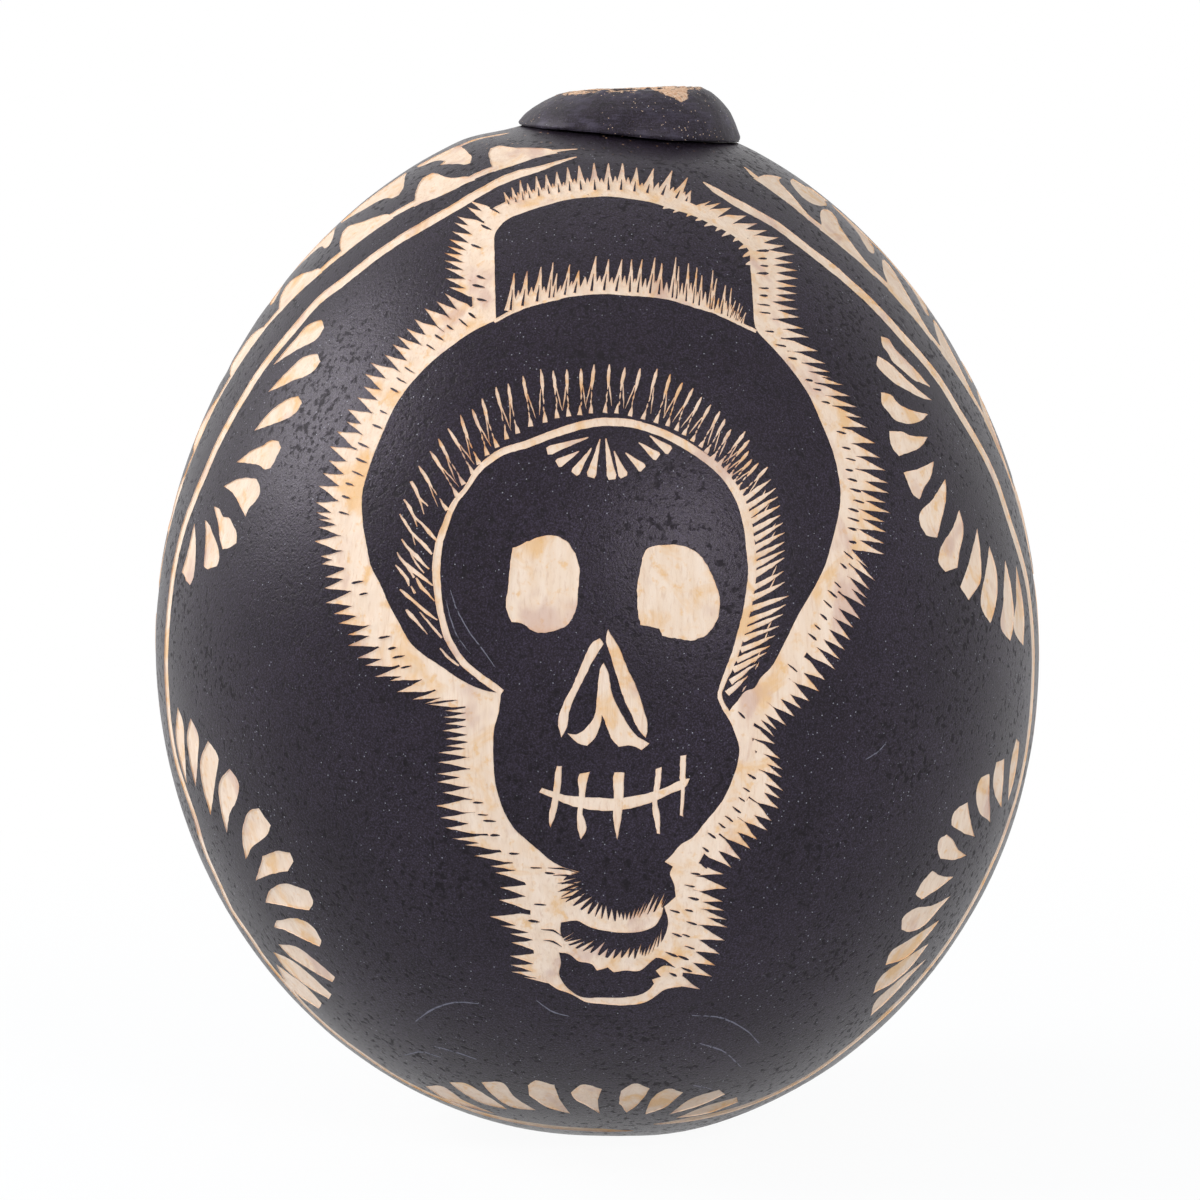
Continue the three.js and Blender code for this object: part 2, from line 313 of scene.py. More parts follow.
MOUTH_TEETH = (
    ((557, 766), (562, 766), (560, 789), (555, 817), (551, 828), (549, 820), (553, 794), (555, 776)),
    ((580, 774), (590, 772), (587, 781), (585, 797), (583, 812), (586, 830), (581, 840), (577, 827),
     (578, 807), (579, 789), (578, 779)),
    ((615, 772), (625, 773), (624, 792), (622, 812), (620, 827), (617, 841), (614, 825), (613, 812),
     (614, 792), (613, 779)),
    ((656, 769), (662, 767), (661, 784), (658, 799), (660, 817), (660, 835), (657, 834), (653, 812),
     (653, 797), (655, 781)),
    ((681, 756), (687, 755), (686, 771), (685, 792), (683, 817), (680, 815), (681, 792), (680, 771)),
)

# Fringes under the chin and round the neck: the tips of the teeth, and the line of their roots
CHIN_TIPS = (
    (579, 873), (581, 882), (582, 888), (592, 897), (599, 902), (606, 906), (617, 910), (625, 912),
    (636, 908), (645, 902), (655, 893), (665, 893), (668, 896),
)
CHIN_ROOTS = (
    (559, 878), (559, 888), (563, 900), (577, 908), (592, 916), (605, 920), (618, 922), (625, 922),
    (632, 920), (638, 918), (645, 916), (657, 911), (661, 909),
)
NECK_GAP = (
    (561, 923), (577, 921), (590, 927), (604, 931), (631, 933), (645, 931), (655, 926), (661, 917),
    (664, 905), (668, 925), (662, 942), (649, 955), (637, 959), (625, 958), (610, 959), (594, 954),
    (579, 950), (565, 942), (560, 932),
)
NECK_TIPS = (
    (574, 933), (582, 939), (594, 941), (605, 942), (616, 949), (630, 948), (641, 944), (646, 948),
    (657, 936), (662, 928),
)
NECK_ROOTS = (
    (562, 940), (565, 944), (579, 951), (594, 955), (610, 960), (625, 959), (637, 960), (643, 958),
    (650, 955), (660, 946),
)
# Slivers of dye left standing at the left of the neck
NECK_COMB = (
    ((548, 868), (562, 869), (578, 873)), ((553, 876), (566, 876), (580, 879)),
    ((557, 884), (569, 883), (582, 884)), ((558, 892), (570, 890), (583, 890)),
    ((561, 899), (572, 897), (584, 896)), ((541, 930), (553, 931), (563, 937)),
    ((543, 940), (553, 942), (562, 947)),
)
COLLAR_GAP = (
    (559, 953), (568, 954), (579, 962), (592, 965), (597, 971), (608, 968), (614, 973), (625, 971),
    (640, 971), (649, 964), (656, 958), (662, 959), (676, 968), (664, 966), (656, 971), (661, 977),
    (652, 980), (654, 984), (651, 988), (643, 994), (625, 998), (602, 998), (581, 997), (573, 993),
    (563, 983), (559, 974), (561, 963),
)

# Leaf-shaped cuts round the halo
LEAVES_UPPER_LEFT = (
    ((273, 365), (294, 340), (312, 322), (321, 320), (324, 327), (319, 336), (298, 349)),
    ((268, 392), (290, 368), (307, 355), (317, 354), (320, 361), (314, 370), (292, 381)),
    ((254, 430), (270, 411), (288, 399), (298, 396), (302, 402), (296, 412), (274, 423)),
    ((236, 462), (251, 451), (263, 445), (271, 440), (278, 441), (281, 447), (277, 455), (270, 468),
     (265, 469), (258, 465), (247, 463)),
    ((223, 486), (235, 480), (248, 477), (256, 479), (259, 486), (259, 494), (255, 501), (248, 509),
     (245, 516), (242, 511), (237, 501), (232, 493)),
    ((213, 506), (219, 509), (223, 516), (228, 517), (232, 524), (236, 533), (236, 543), (229, 547),
     (222, 549), (219, 537), (218, 525)),
    ((204, 520), (209, 526), (213, 535), (217, 547), (218, 560), (216, 566), (207, 569), (203, 566),
     (204, 555), (205, 537)),
    ((194, 523), (195, 543), (194, 570), (192, 580), (189, 585), (185, 580), (183, 574), (181, 572),
     (187, 552), (191, 535)),
)
LEAVES_UPPER_RIGHT = (
    ((882, 336), (888, 338), (896, 349), (909, 362), (919, 373), (931, 387), (920, 382), (917, 381),
     (903, 370), (892, 360), (889, 354), (883, 345)),
    ((878, 356), (884, 359), (895, 367), (906, 378), (916, 387), (933, 401), (920, 397), (909, 391),
     (896, 383), (888, 376), (877, 364)),
    ((882, 392), (891, 394), (898, 402), (917, 412), (929, 414), (921, 421), (905, 423), (894, 419),
     (889, 412), (883, 404)),
    ((890, 431), (901, 431), (914, 436), (928, 436), (922, 446), (910, 452), (900, 456), (894, 449),
     (891, 441)),
    ((904, 472), (917, 469), (934, 462), (932, 476), (924, 489), (920, 499), (914, 495), (909, 484)),
    ((946, 479), (947, 495), (942, 520), (938, 537), (927, 535), (920, 522), (920, 514), (932, 500)),
    ((960, 510), (964, 527), (960, 552), (958, 568), (946, 572), (939, 562), (940, 550), (954, 527)),
    ((978, 528), (981, 552), (980, 583), (969, 600), (961, 587), (970, 560)),
    ((990, 546), (997, 571), (996, 606), (991, 624), (982, 608), (986, 573)),
    ((1006, 560), (1012, 588), (1014, 625), (1011, 641), (1003, 631), (1004, 600)),
    ((1017, 566), (1022, 590), (1025, 619), (1024, 646), (1016, 634), (1017, 600)),
)
LEAVES_LOWER_RIGHT = (
    ((1017, 739), (1020, 742), (1018, 761), (1014, 782), (1009, 801), (1010, 776), (1013, 754)),
    ((997, 762), (1005, 758), (1004, 780), (1002, 807), (995, 793), (994, 778)),
    ((982, 778), (990, 774), (990, 798), (991, 822), (981, 813), (977, 798), (978, 787)),
    ((968, 803), (971, 821), (975, 837), (962, 832), (952, 826), (954, 814), (960, 807)),
    ((947, 835), (953, 839), (959, 850), (967, 856), (953, 860), (941, 859), (938, 850), (940, 839)),
    ((933, 871), (942, 876), (954, 877), (940, 888), (922, 900), (916, 895), (923, 882)),
    ((951, 896), (938, 911), (923, 927), (910, 932), (902, 930), (903, 919), (913, 910), (932, 906)),
    ((940, 920), (927, 937), (905, 959), (886, 966), (890, 954), (908, 941), (925, 930)),
    ((929, 944), (914, 964), (895, 982), (874, 994), (878, 982), (901, 962)),
    ((926, 960), (912, 975), (892, 997), (871, 1016), (873, 1007), (895, 984)),
)
LEAVES_LOWER_LEFT = (
    ((177, 707), (182, 721), (184, 749), (186, 783), (179, 758), (175, 730)),
    ((190, 718), (197, 733), (197, 760), (195, 787), (189, 760), (187, 730)),
    ((207, 741), (217, 756), (215, 776), (210, 815), (203, 790), (200, 758)),
    ((229, 769), (238, 783), (236, 799), (229, 815), (226, 833), (220, 809), (220, 779)),
    ((258, 808), (270, 826), (267, 835), (253, 845), (245, 859), (242, 841), (243, 822), (249, 811)),
    ((275, 852), (289, 853), (293, 862), (288, 872), (269, 875), (255, 881), (262, 857)),
    ((265, 903), (267, 895), (283, 884), (297, 887), (308, 891), (312, 903), (308, 910), (288, 907),
     (272, 904)),
    ((273, 927), (276, 921), (297, 919), (313, 928), (321, 941), (319, 947), (301, 939), (285, 931)),
    ((278, 945), (292, 946), (315, 961), (335, 978), (332, 983), (311, 971), (290, 957)),
    ((273, 953), (282, 956), (308, 974), (331, 995), (328, 999.5), (308, 987.5), (285, 969)),
    ((276, 965), (284, 971), (304, 985.5), (321, 1004), (318, 1009), (304, 1000.5), (285, 982)),
)
LEAVES_BOTTOM = (
    ((425, 1087), (441, 1087), (463, 1101), (494, 1114), (463, 1106), (441, 1098)),
    ((449, 1083), (465, 1084), (483, 1094), (507, 1110), (479, 1103), (463, 1094)),
    ((481, 1083), (503, 1084), (513, 1096), (536, 1111), (513, 1108), (493, 1096)),
    ((528, 1086), (533, 1082), (554, 1085), (559, 1099), (570, 1114), (546, 1107), (529, 1096)),
    ((571, 1093), (579, 1086), (602, 1089), (598, 1103), (600, 1114), (586, 1106), (574, 1099)),
    ((621, 1091), (634, 1084), (649, 1089), (640, 1103), (627, 1113), (619, 1104)),
    ((652, 1099), (669, 1089), (683, 1093), (665, 1108), (645, 1115)),
    ((720, 1090), (725, 1095), (695, 1108), (669, 1115), (688, 1101)),
    ((737, 1098), (738, 1103), (708, 1114), (675, 1119), (705, 1107)),
)

# Frame lines: pixels where the rind faces the camera, then (bearing, height) round the sides
FRAME_LEFT_FRONT = (
    (577, 156), (533, 170), (520, 173), (481, 191), (456, 206), (420, 227), (382, 251), (343, 281),
    (320, 299), (290, 333), (262, 368), (240, 402), (219, 440), (206, 469), (195, 495), (184, 525),
    (174, 566), (169, 603), (166, 640), (165.5, 667), (167, 700), (170, 730), (175.5, 760), (184, 788),
    (194, 817), (204, 850), (218, 882), (232, 911), (247, 933), (263, 957), (285, 984), (311, 1013),
    (338, 1037), (368, 1059),
)
FRAME_LEFT_SIDE = ((-57.5, 10.4), (-52.5, 8.1), (-45, 6.1), (-32, 4.4), (-17, 3.5), (2, 3.1), (14, 3.2))
FRAME_RIGHT_FRONT = (
    (704, 182), (716, 190), (745, 206.5), (774, 222.5), (806, 247), (841, 274.5), (875, 305.5), (902, 335),
    (926, 362), (943, 384.5), (959, 411), (976, 439), (990, 465), (1001, 492), (1010, 520),
)
FRAME_RIGHT_SIDE = (
    (75.4, 82), (76, 73), (76, 64), (75.8, 55), (74.2, 47), (72, 39.5), (70, 31), (67, 25), (62.8, 20),
    (59.8, 16), (56.5, 12), (51.5, 9.4), (45, 7.6), (37, 6.5), (28.5, 5.7), (18.5, 4.9),
)
EDGE_LEFT_FRONT = (
    (577, 146), (548, 151), (520, 160), (490, 169.5), (466, 180), (445, 190.5), (410, 205), (386, 218.5),
    (362, 236.5), (339, 254.5), (315, 275), (292, 296), (277, 312), (261, 331), (244, 353), (233, 372),
)
EDGE_LEFT_SIDE = (
    (-78, 109), (-79.5, 102), (-82, 92), (-84, 74), (-83.5, 44), (-82, 26), (-76, 10), (-64, 2.5),
)
EDGE_RIGHT_FRONT = (
    (745, 166), (756, 176), (766, 183.5), (790, 200), (806, 214), (825, 229), (860, 259), (895, 292),
    (931, 335),
)
EDGE_RIGHT_SIDE = (
    (74.5, 113), (77.5, 107.5), (80, 101), (82, 93), (83.5, 80), (84, 60), (83, 40), (82, 26), (76, 10),
    (64, 2.5),
)

HUMP_PERIOD = 12.7  # mm
RING_REACH = 17.6  # mm from the neck's middle that no border line comes nearer than

# Humps of the wave, as (share of its length, share of its height) from the tail to the blunt end
FULL_HUMP = (
    (0.0, -0.12), (0.05, 0.08), (0.27, 0.36), (0.5, 0.62), (0.7, 0.86), (0.83, 1.0), (0.93, 0.95),
    (0.985, 0.74), (1.0, 0.45), (0.99, 0.15), (0.98, -0.12),
)
SLIM_HUMP = (
    (0.0, -0.12), (0.06, 0.05), (0.22, 0.17), (0.42, 0.33), (0.58, 0.5), (0.71, 0.72), (0.79, 0.9),
    (0.86, 1.0), (0.93, 0.98), (0.99, 0.83), (1.0, 0.6), (0.97, 0.34), (0.91, 0.13), (0.88, -0.12),
)
BENT_HUMP = (
    (0.0, -0.12), (0.06, 0.06), (0.18, 0.22), (0.38, 0.4), (0.58, 0.5), (0.72, 0.63), (0.82, 0.82),
    (0.9, 0.98), (0.95, 1.0), (0.99, 0.86), (1.0, 0.6), (0.985, 0.3), (0.97, -0.12),
)

# Runs of humps beside the border lines: starts along the line in mm, each with its share of the full
# height, the humps' length in mm, their base (0 the border line, 1 the far line), their height as a
# share of HUMP_HEIGHT, whether they swell ahead, and their form
HUMP_HEIGHT = 0.55  # of the wave's width
LEFT_HUMPS = (
    (((3.0, 1.05), (15.5, 1.15), (28.5, 1.12), (41.6, 1.05)), 9.6, 0, 0.9, True, FULL_HUMP),
    (((14.2, 1.12), (27.2, 1.05), (39.8, 0.95)), 12.2, 1, -1.16, False, BENT_HUMP),
)
RIGHT_HUMPS = (
    (((1.5, 0.86), (13.4, 1), (26.4, 1), (38.6, 1)), 11.4, 0, 1.16, False, SLIM_HUMP),
    (((-0.6, 1.1), (14.2, 1), (26.5, 0.95)), 10.8, 1, -1.08, True, SLIM_HUMP),
)

# Hair-thin scuffs in the dye
SCUFFS = (
    ((415, 1022), (432, 1010), (455, 1003), (478, 1004)),
    ((430, 1046), (452, 1052), (476, 1060)),
    ((692, 1016), (720, 1018), (748, 1032), (760, 1044)),
    ((700, 1044), (724, 1052), (742, 1068)),
    ((450, 590), (455, 606), (468, 630), (484, 652), (496, 668)),
    ((446, 600), (450, 618), (458, 638), (470, 654)),
    ((404, 1056), (421, 1053), (440, 1058)),
    ((694, 1086), (703, 1088), (713, 1090)),
    ((866, 760), (878, 752), (886, 744)),
    ((536, 1001), (552, 1012), (570, 1017)),
)


def srgb(red, green, blue):
    """A colour given in 0 to 255, as the linear values that a shader takes."""
    def linear(value):
        share = value / 255
        return share / 12.92 if share <= 0.04045 else ((share + 0.055) / 1.055) ** 2.4

    return (linear(red), linear(green), linear(blue))


def smooth_step(value, low, high):
    """0 below low, 1 above high, and smooth between them."""
    share = min(max((value - low) / (high - low), 0), 1)
    return share * share * (3 - 2 * share)


def vectors(points):
    return [Vector(point) for point in points]


class Calabash:
    """The grown form in mm: two half curves turned about +Z, sanded flat at its foot."""

    def __init__(self, sizes):
        self.belly = sizes.belly_radius / MM
        self.stalk = sizes.belly_to_stalk / MM
        self.blossom = sizes.belly_to_blossom / MM
        self.level = self.rise(sizes.stand_radius / MM, upper=False)

    def half(self, upper, inset=0.0):
        """The radius, reach and power of the upper or the lower half curve."""
        if upper:
            return self.belly - inset, self.stalk - inset, UPPER_POWER
        return self.belly - inset, self.blossom - inset, LOWER_POWER

    def rise(self, distance, upper=True):
        """How far above or below the widest level the skin is at a distance from the axis."""
        radius, reach, power = self.half(upper)
        share = min(distance / radius, 1)
        return reach * (1 - share**power) ** (1 / power)

    def outside(self, place, inset=0.0):
        """Above zero outside the skin, and below zero inside it."""
        height = place.z - self.level
        radius, reach, power = self.half(height > 0, inset)
        away = math.hypot(place.x, place.y)
        return (away / radius) ** power + (abs(height) / reach) ** power - 1

    def point(self, chart, inset=0.0):
        """The skin at a point of its flat chart, which is centred on the blossom end."""
        rho = math.hypot(chart[0], chart[1])
        polar = 2 * math.atan(rho)
        upper = polar > math.pi / 2
        turn = abs(polar - math.pi / 2)
        radius, reach, power = self.half(upper, inset)
        across = radius * math.cos(turn) ** (2 / power) / max(rho, 1e-9)
        height = reach * math.sin(turn) ** (2 / power)
        z = self.level + (height if upper else -height)
        return Vector((chart[0] * across, chart[1] * across, z if inset else max(z, 0)))

    def chart(self, place, inset=0.0):
        """Where a place near the skin lies on the flat chart."""
        height = place.z - self.level
        radius, reach, power = self.half(height > 0, inset)
        away = math.hypot(place.x, place.y)
        turn = math.atan2((abs(height) / reach) ** (power / 2), (away / radius) ** (power / 2))
        rho = math.tan((math.pi / 2 + math.copysign(turn, height)) / 2)
        return Vector((place.x, place.y)) * (rho / max(away, 1e-9))

    def onto(self, place):
        """The nearest place on the skin, by way of the chart."""
        return self.point(self.chart(place))

    def normal(self, place):
        """The direction straight out of the skin."""
        height = place.z - self.level
        radius, reach, power = self.half(height > 0)
        away = max(math.hypot(place.x, place.y), 1e-6)
        outward = (away / radius) ** (power - 1) / radius / away
        upward = math.copysign((abs(height) / reach) ** (power - 1) / reach, height)
        return Vector((place.x * outward, place.y * outward, upward)).normalized()

    def bearing(self, degrees, height):
        """The skin at a bearing from the front and a height above the stand."""
        above = height - self.level
        radius, reach, power = self.half(above > 0)
        away = radius * (1 - min(abs(above) / reach, 1) ** power) ** (1 / power)
        turn = math.radians(degrees)
        return Vector((away * math.sin(turn), -away * math.cos(turn), height))


def fuller(place):
    """How far the rind stands out past the grown form at a place, in mm."""
    right = smooth_step(place.x, -4, 16 + 0.7 * place.z)
    low = 1 - smooth_step(place.z, 36, 80)
    off_stand = smooth_step(place.z, 0, 1.2)
    return FULLNESS * right * low * off_stand


def halved(inside, outside, is_outside, steps):
    """The two ends of a stretch that crosses the skin, drawn together on the crossing."""
    for _ in range(steps):
        middle = (inside + outside) / 2
        if is_outside(middle):
            outside = middle
        else:
            inside = middle
    return inside, outside


class Sight:
    """Lays the photograph's pixels on the gourd."""

    def __init__(self, gourd):
        self.gourd = gourd
        self.forward = Vector((0, math.cos(EYE_RISE), -math.sin(EYE_RISE)))
        self.up = Vector((0, math.sin(EYE_RISE), math.cos(EYE_RISE)))
        self.eye = EYE_TARGET - self.forward * EYE_DISTANCE

    def cast(self, pixel):
        """The point of the rind under a pixel, or the nearest on the outline for one beside it."""
        half = PICTURE_SIZE / 2
        scale = EYE_SENSOR / EYE_LENS / PICTURE_SIZE
        aside, above = (pixel[0] - half) * scale, (half - pixel[1]) * scale
        ray = (self.forward + Vector((aside, 0, 0)) + self.up * above).normalized()

        def on_form(distance):
            place = self.eye + ray * distance
            return place - self.gourd.normal(place) * fuller(place)

        def outside(distance):
            return self.gourd.outside(on_form(distance))

        low, high = NEAREST, FARTHEST
        for _ in range(22):
            third = (high - low) / 3
            if outside(low + third) < outside(high - third):
                high -= third
            else:
                low += third
        deepest = (low + high) / 2
        if outside(deepest) > 0:
            return self.gourd.onto(on_form(deepest))
        return on_form(halved(deepest, NEAREST, lambda distance: outside(distance) > 0, 26)[0])


def traced(points, closed, step):
    """Points along a line through the given ones, smooth where it bends gently and sharp at corners.

    Each comes with its place in the list, such as 2.5 for halfway from the third to the fourth."""
    count = len(points)
    spans = count if closed else count - 1
    chords = [points[(i + 1) % count] - points[i] for i in range(spans)]

    def slope(i, ahead):
        before = chords[(i - 1) % spans] if closed or i > 0 else chords[0]
        after = chords[i % spans] if closed or i < spans else chords[-1]
        if before.angle(after, 0) > CORNER:
            return (after if ahead else before).normalized()
        a, b = before.length, after.length
        return (before.normalized() * b + after.normalized() * a) / (a + b)

    line = []
    for i, chord in enumerate(chords):
        length = chord.length
        if length < 1e-6:
            continue
        leave, arrive = slope(i, True) * length, slope(i + 1, False) * length
        pieces = max(1, math.ceil(length / step))
        for k in range(pieces):
            t = k / pieces
            s = 1 - t
            place = (
                points[i] * (s * s * (1 + 2 * t))
                + points[(i + 1) % count] * (t * t * (1 + 2 * s))
                + leave * (t * s * s)
                - arrive * (t * t * s)
            )
            line.append((place, i + t))
    if not closed:
        line.append((points[-1], float(spans)))
    return line


def between(values, place):
    """A value read off a list at a fractional place."""
    low = min(int(place), len(values) - 2)
    share = place - low
    return values[low] * (1 - share) + values[low + 1] * share


def ribbon(points, widths, step, side):
    """The outline of a stroke along points. side(place, direction) points across it."""
    line = traced(points, False, step)
    left, right = [], []
    for i, (place, where) in enumerate(line):
        ahead = line[min(i + 1, len(line) - 1)][0] - line[max(i - 1, 0)][0]
        across = side(place, ahead.normalized()) * (max(between(widths, where), 0.01) / 2)
        left.append(place + across)
        right.append(place - across)
    return left + right[::-1]


def flat_side(place, direction):
    """Points across a stroke that is drawn in pixels."""
    return Vector((-direction.y, direction.x))


class Carving:
    """Outlines to be cut into the rind or kept, where a later one wins over an earlier one."""

    def __init__(self, gourd):
        self.gourd = gourd
        self.sight = Sight(gourd)
        self.chance = random.Random(SEED)
        noise.seed_set(SEED)
        self.outlines = []
        self.teeth = []

    def lay(self, kind, places, shake=1.0):
        """Adds an outline of places on the rind, unsteady as a hand-held gouge leaves it."""
        shift = Vector((0, 0, 31.7 * len(self.outlines)))
        chart = []
        for place in places:
            wander = noise.noise_vector(place * 0.28 + shift) * 0.16
            nick = noise.noise_vector(place * 1.5 + shift) * 0.11
            spot = self.gourd.chart(place + (wander + nick) * shake)
            if not chart or (spot - chart[-1]).length > SAME_SPOT:
                chart.append(spot)
        if (chart[0] - chart[-1]).length < SAME_SPOT:
            chart.pop()
        if len(chart) > 2:
            self.outlines.append((kind, chart))

    def seen(self, pixels):
        """Places on the rind along a closed outline seen from the front."""
        line = traced(vectors(pixels), True, LINE_STEP / PIXEL)
        return [self.sight.cast(p) for p, _ in line]

    def shape(self, kind, pixels, shake=1.0):
        """An outline seen from the front."""
        self.lay(kind, self.seen(pixels), shake)

    def facets(self, kind, pixels, shake=0.6):
        """An outline with straight sides, seen from the front."""
        corners = vectors(pixels)
        line = []
        for a, b in zip(corners, corners[1:] + corners[:1]):
            pieces = max(1, math.ceil((b - a).length * PIXEL / LINE_STEP))
            line.extend(a.lerp(b, k / pieces) for k in range(pieces))
        self.lay(kind, [self.sight.cast(p) for p in line], shake)

    def stroke(self, kind, pixels, widths, shake=0.7):
        """A stroke seen from the front, with its widths in pixels."""
        outline = ribbon(vectors(pixels), widths, LINE_STEP / PIXEL, flat_side)
        self.lay(kind, [self.sight.cast(p) for p in outline], shake)

    def band(self, kind, places, widths, shake=1.0):
        """A stroke through places on the rind, with its widths in mm."""
        def side(place, direction):
            return self.gourd.normal(place).cross(direction).normalized()

        self.lay(kind, ribbon(places, widths, LINE_STEP, side), shake)

    def tooth(self, tip, lean, spread):
        """One tooth of the halo: a narrow point that widens to its root."""
        sides = []
        for share, width in ((0.45, 0.4), (1, 1.04), (1.5, 1)):
            sides.append((tip + lean * share, spread * width))
        right = [middle + out for middle, out in sides]
        left = [middle - out for middle, out in sides]
        self.facets(CUT, (tip, *right, *left[::-1]))
        self.teeth.append((tip, lean))

    def run_of_teeth(self, tips, first_lean, last_lean):
        """Teeth side by side, whose lean changes evenly from the first to the last."""
        tips, last = vectors(tips), len(tips) - 1
        for i, tip in enumerate(tips):
            lean = Vector(first_lean).lerp(Vector(last_lean), i / last)
            before, after = tips[max(i - 1, 0)], tips[min(i + 1, last)]
            step = (after - before) / (2 if 0 < i < last else 1)
            along = lean.normalized()
            across = step - along * step.dot(along)
            if across.length > WIDEST_TOOTH:
                across *= WIDEST_TOOTH / across.length
            self.tooth(tip, lean * self.chance.uniform(0.92, 1.1), across / 2)

    def fleck(self, place):
        """A sliver of dye left standing between two teeth."""
        place = Vector(place)
        lean = min(self.teeth, key=lambda tooth: (tooth[0] + tooth[1] * 1.3 - place).length)[1]
        reach = lean.normalized() * self.chance.uniform(3.6, 6.4)
        width = self.chance.uniform(1.7, 2.9)
        points = (place - reach, place - reach * 0.5, place + reach * 0.4, place + reach)
        self.stroke(KEEP, points, (1.0, width, width * 0.8, 0.5))


def drawn_in(points, distance):
    """A closed outline drawn in towards its middle by a distance."""
    points = vectors(points)
    result = []
    for before, here, after in zip(points[-1:] + points[:-1], points, points[1:] + points[:1]):
        along = (after - before).normalized()
        result.append(here + Vector((-along.y, along.x)) * distance)
    return result


def cut_halo(carving):
    """The jagged halo: its band, the teeth outside it, the crown's spires and the flecks of dye in it."""
    carving.shape(CUT, drawn_in(HALO_BAND, HALO_ROOTS), 0.6)
    for tips, first_lean, last_lean in HALO_TEETH:
        carving.run_of_teeth(tips, first_lean, last_lean)
    cut_spires(carving, CROWN_SPIRES, 1.3)
    for place in HALO_FLECKS:
        carving.fleck(place)


def cut_spires(carving, spires, past, stout=1.0):
    """Spires side by side, each split at its foot, with a low peak between every two."""
    spires = [(Vector(tip), Vector(foot)) for tip, foot in spires]
    slots = []
    last = len(spires) - 1
    for i, (tip, foot) in enumerate(spires):
        before, after = spires[max(i - 1, 0)], spires[min(i + 1, last)]
        room = min((after[1] - before[1]).length / (2 if 0 < i < last else 1), WIDEST_TOOTH)
        points = (tip, tip.lerp(foot, 0.45), tip.lerp(foot, 0.75), tip.lerp(foot, past))
        carving.stroke(CUT, points, (0.9, room * 0.42 * stout, room * 0.78 * stout, room * 1.02), 0.5)
        base = foot.lerp(after[1], 0.5)
        peak = base.lerp(tip.lerp(after[0], 0.5), carving.chance.uniform(0.38, 0.55))
        if i < last:
            points = (peak, peak.lerp(base, 0.5), peak.lerp(base, past))
            carving.stroke(CUT, points, (0.8, room * 0.38, room * 0.75), 0.5)
        high = carving.chance.uniform(0.5, 0.62) * stout
        slot = [tip.lerp(foot, share) for share in (high, (high + 0.97) / 2, 0.97)]
        slots.append((slot, (0.4, room * 0.13, room * 0.2)))
    for slot, widths in slots:
        carving.stroke(KEEP, slot, widths, 0.4)


def cut_straw(carving, tip, foot):
    """One straw mark of the brim: a wedge at its tip, a broken hairline and a droplet at its foot."""
    tip, foot = Vector(tip), Vector(foot)
    chance = carving.chance
    swing = Vector((foot.y - tip.y, tip.x - foot.x)).normalized() * chance.uniform(-1.2, 1.2)

    def at(share):
        return tip.lerp(foot, share) + swing * math.sin(math.pi * share)

    carving.stroke(CUT, (tip, at(0.14), at(0.32), at(0.52)), (1.0, 3.4, 3.2, 0.8))
    for low, high, half, whole, width in ((0.5, 0.56, 0.08, 0.15, 1.6), (0.68, 0.74, 0.05, 0.1, 1.7)):
        start = chance.uniform(low, high)
        carving.stroke(CUT, (at(start), at(start + half), at(start + whole)), (0.6, width, 0.6))
    carving.stroke(CUT, (at(0.79), at(0.9), foot), (0.7, 3.4, 5.0))
    split = at(0.36) + swing.normalized() * 1.2
    fork = at(0.86) + swing.normalized() * 5.6
    carving.stroke(CUT, (split, split.lerp(fork, 0.5), fork), (1.0, 1.4, 0.5))


def cut_shade(carving, tip, foot):
    """One of the close strokes at the right of the brim, which thins at both ends."""
    tip, foot = Vector(tip), Vector(foot)
    chance = carving.chance
    middle = tip.lerp(foot, chance.uniform(0.42, 0.52))
    root = tip.lerp(foot, 0.8)
    foot = tip.lerp(foot, 1.1)
    carving.stroke(CUT, (tip, tip.lerp(middle, 0.5), middle, root, foot), (0.6, 2.2, 4.2, 5.2, 6.2))
    cross = middle + Vector((chance.uniform(1, 5), chance.uniform(4, 6)))
    reach = Vector((3.2, -6)) * chance.uniform(0.5, 1)
    if chance.random() < 0.5:
        carving.stroke(CUT, (cross + reach, cross, cross - reach), (0.5, 1.5, 0.5))


def cut_fringe(carving, tips, roots):
    """Teeth along a line of roots, with a shorter one between every two."""
    tips, roots = vectors(tips), vectors(roots)
    for i in range(2 * len(tips) - 1):
        low, high = i // 2, (i + 1) // 2
        base = (roots[low] + roots[high]) / 2
        tip = (tips[low] + tips[high]) / 2
        if i % 2:
            tip = base.lerp(tip, carving.chance.uniform(0.6, 0.95))
        step = (roots[min(low + 1, len(roots) - 1)] - roots[max(low - 1, 0)]) * 0.13
        spread = step * min(1, 3.2 / step.length)
        deep = base + (base - tip) * 0.3
        middle = base.lerp(tip, 0.5)
        outline = (tip, middle + spread * 0.45, base + spread, deep + spread * 1.3)
        mirror = (deep - spread * 1.3, base - spread, middle - spread * 0.45)
        carving.facets(CUT, (*outline, *mirror), 0.4)


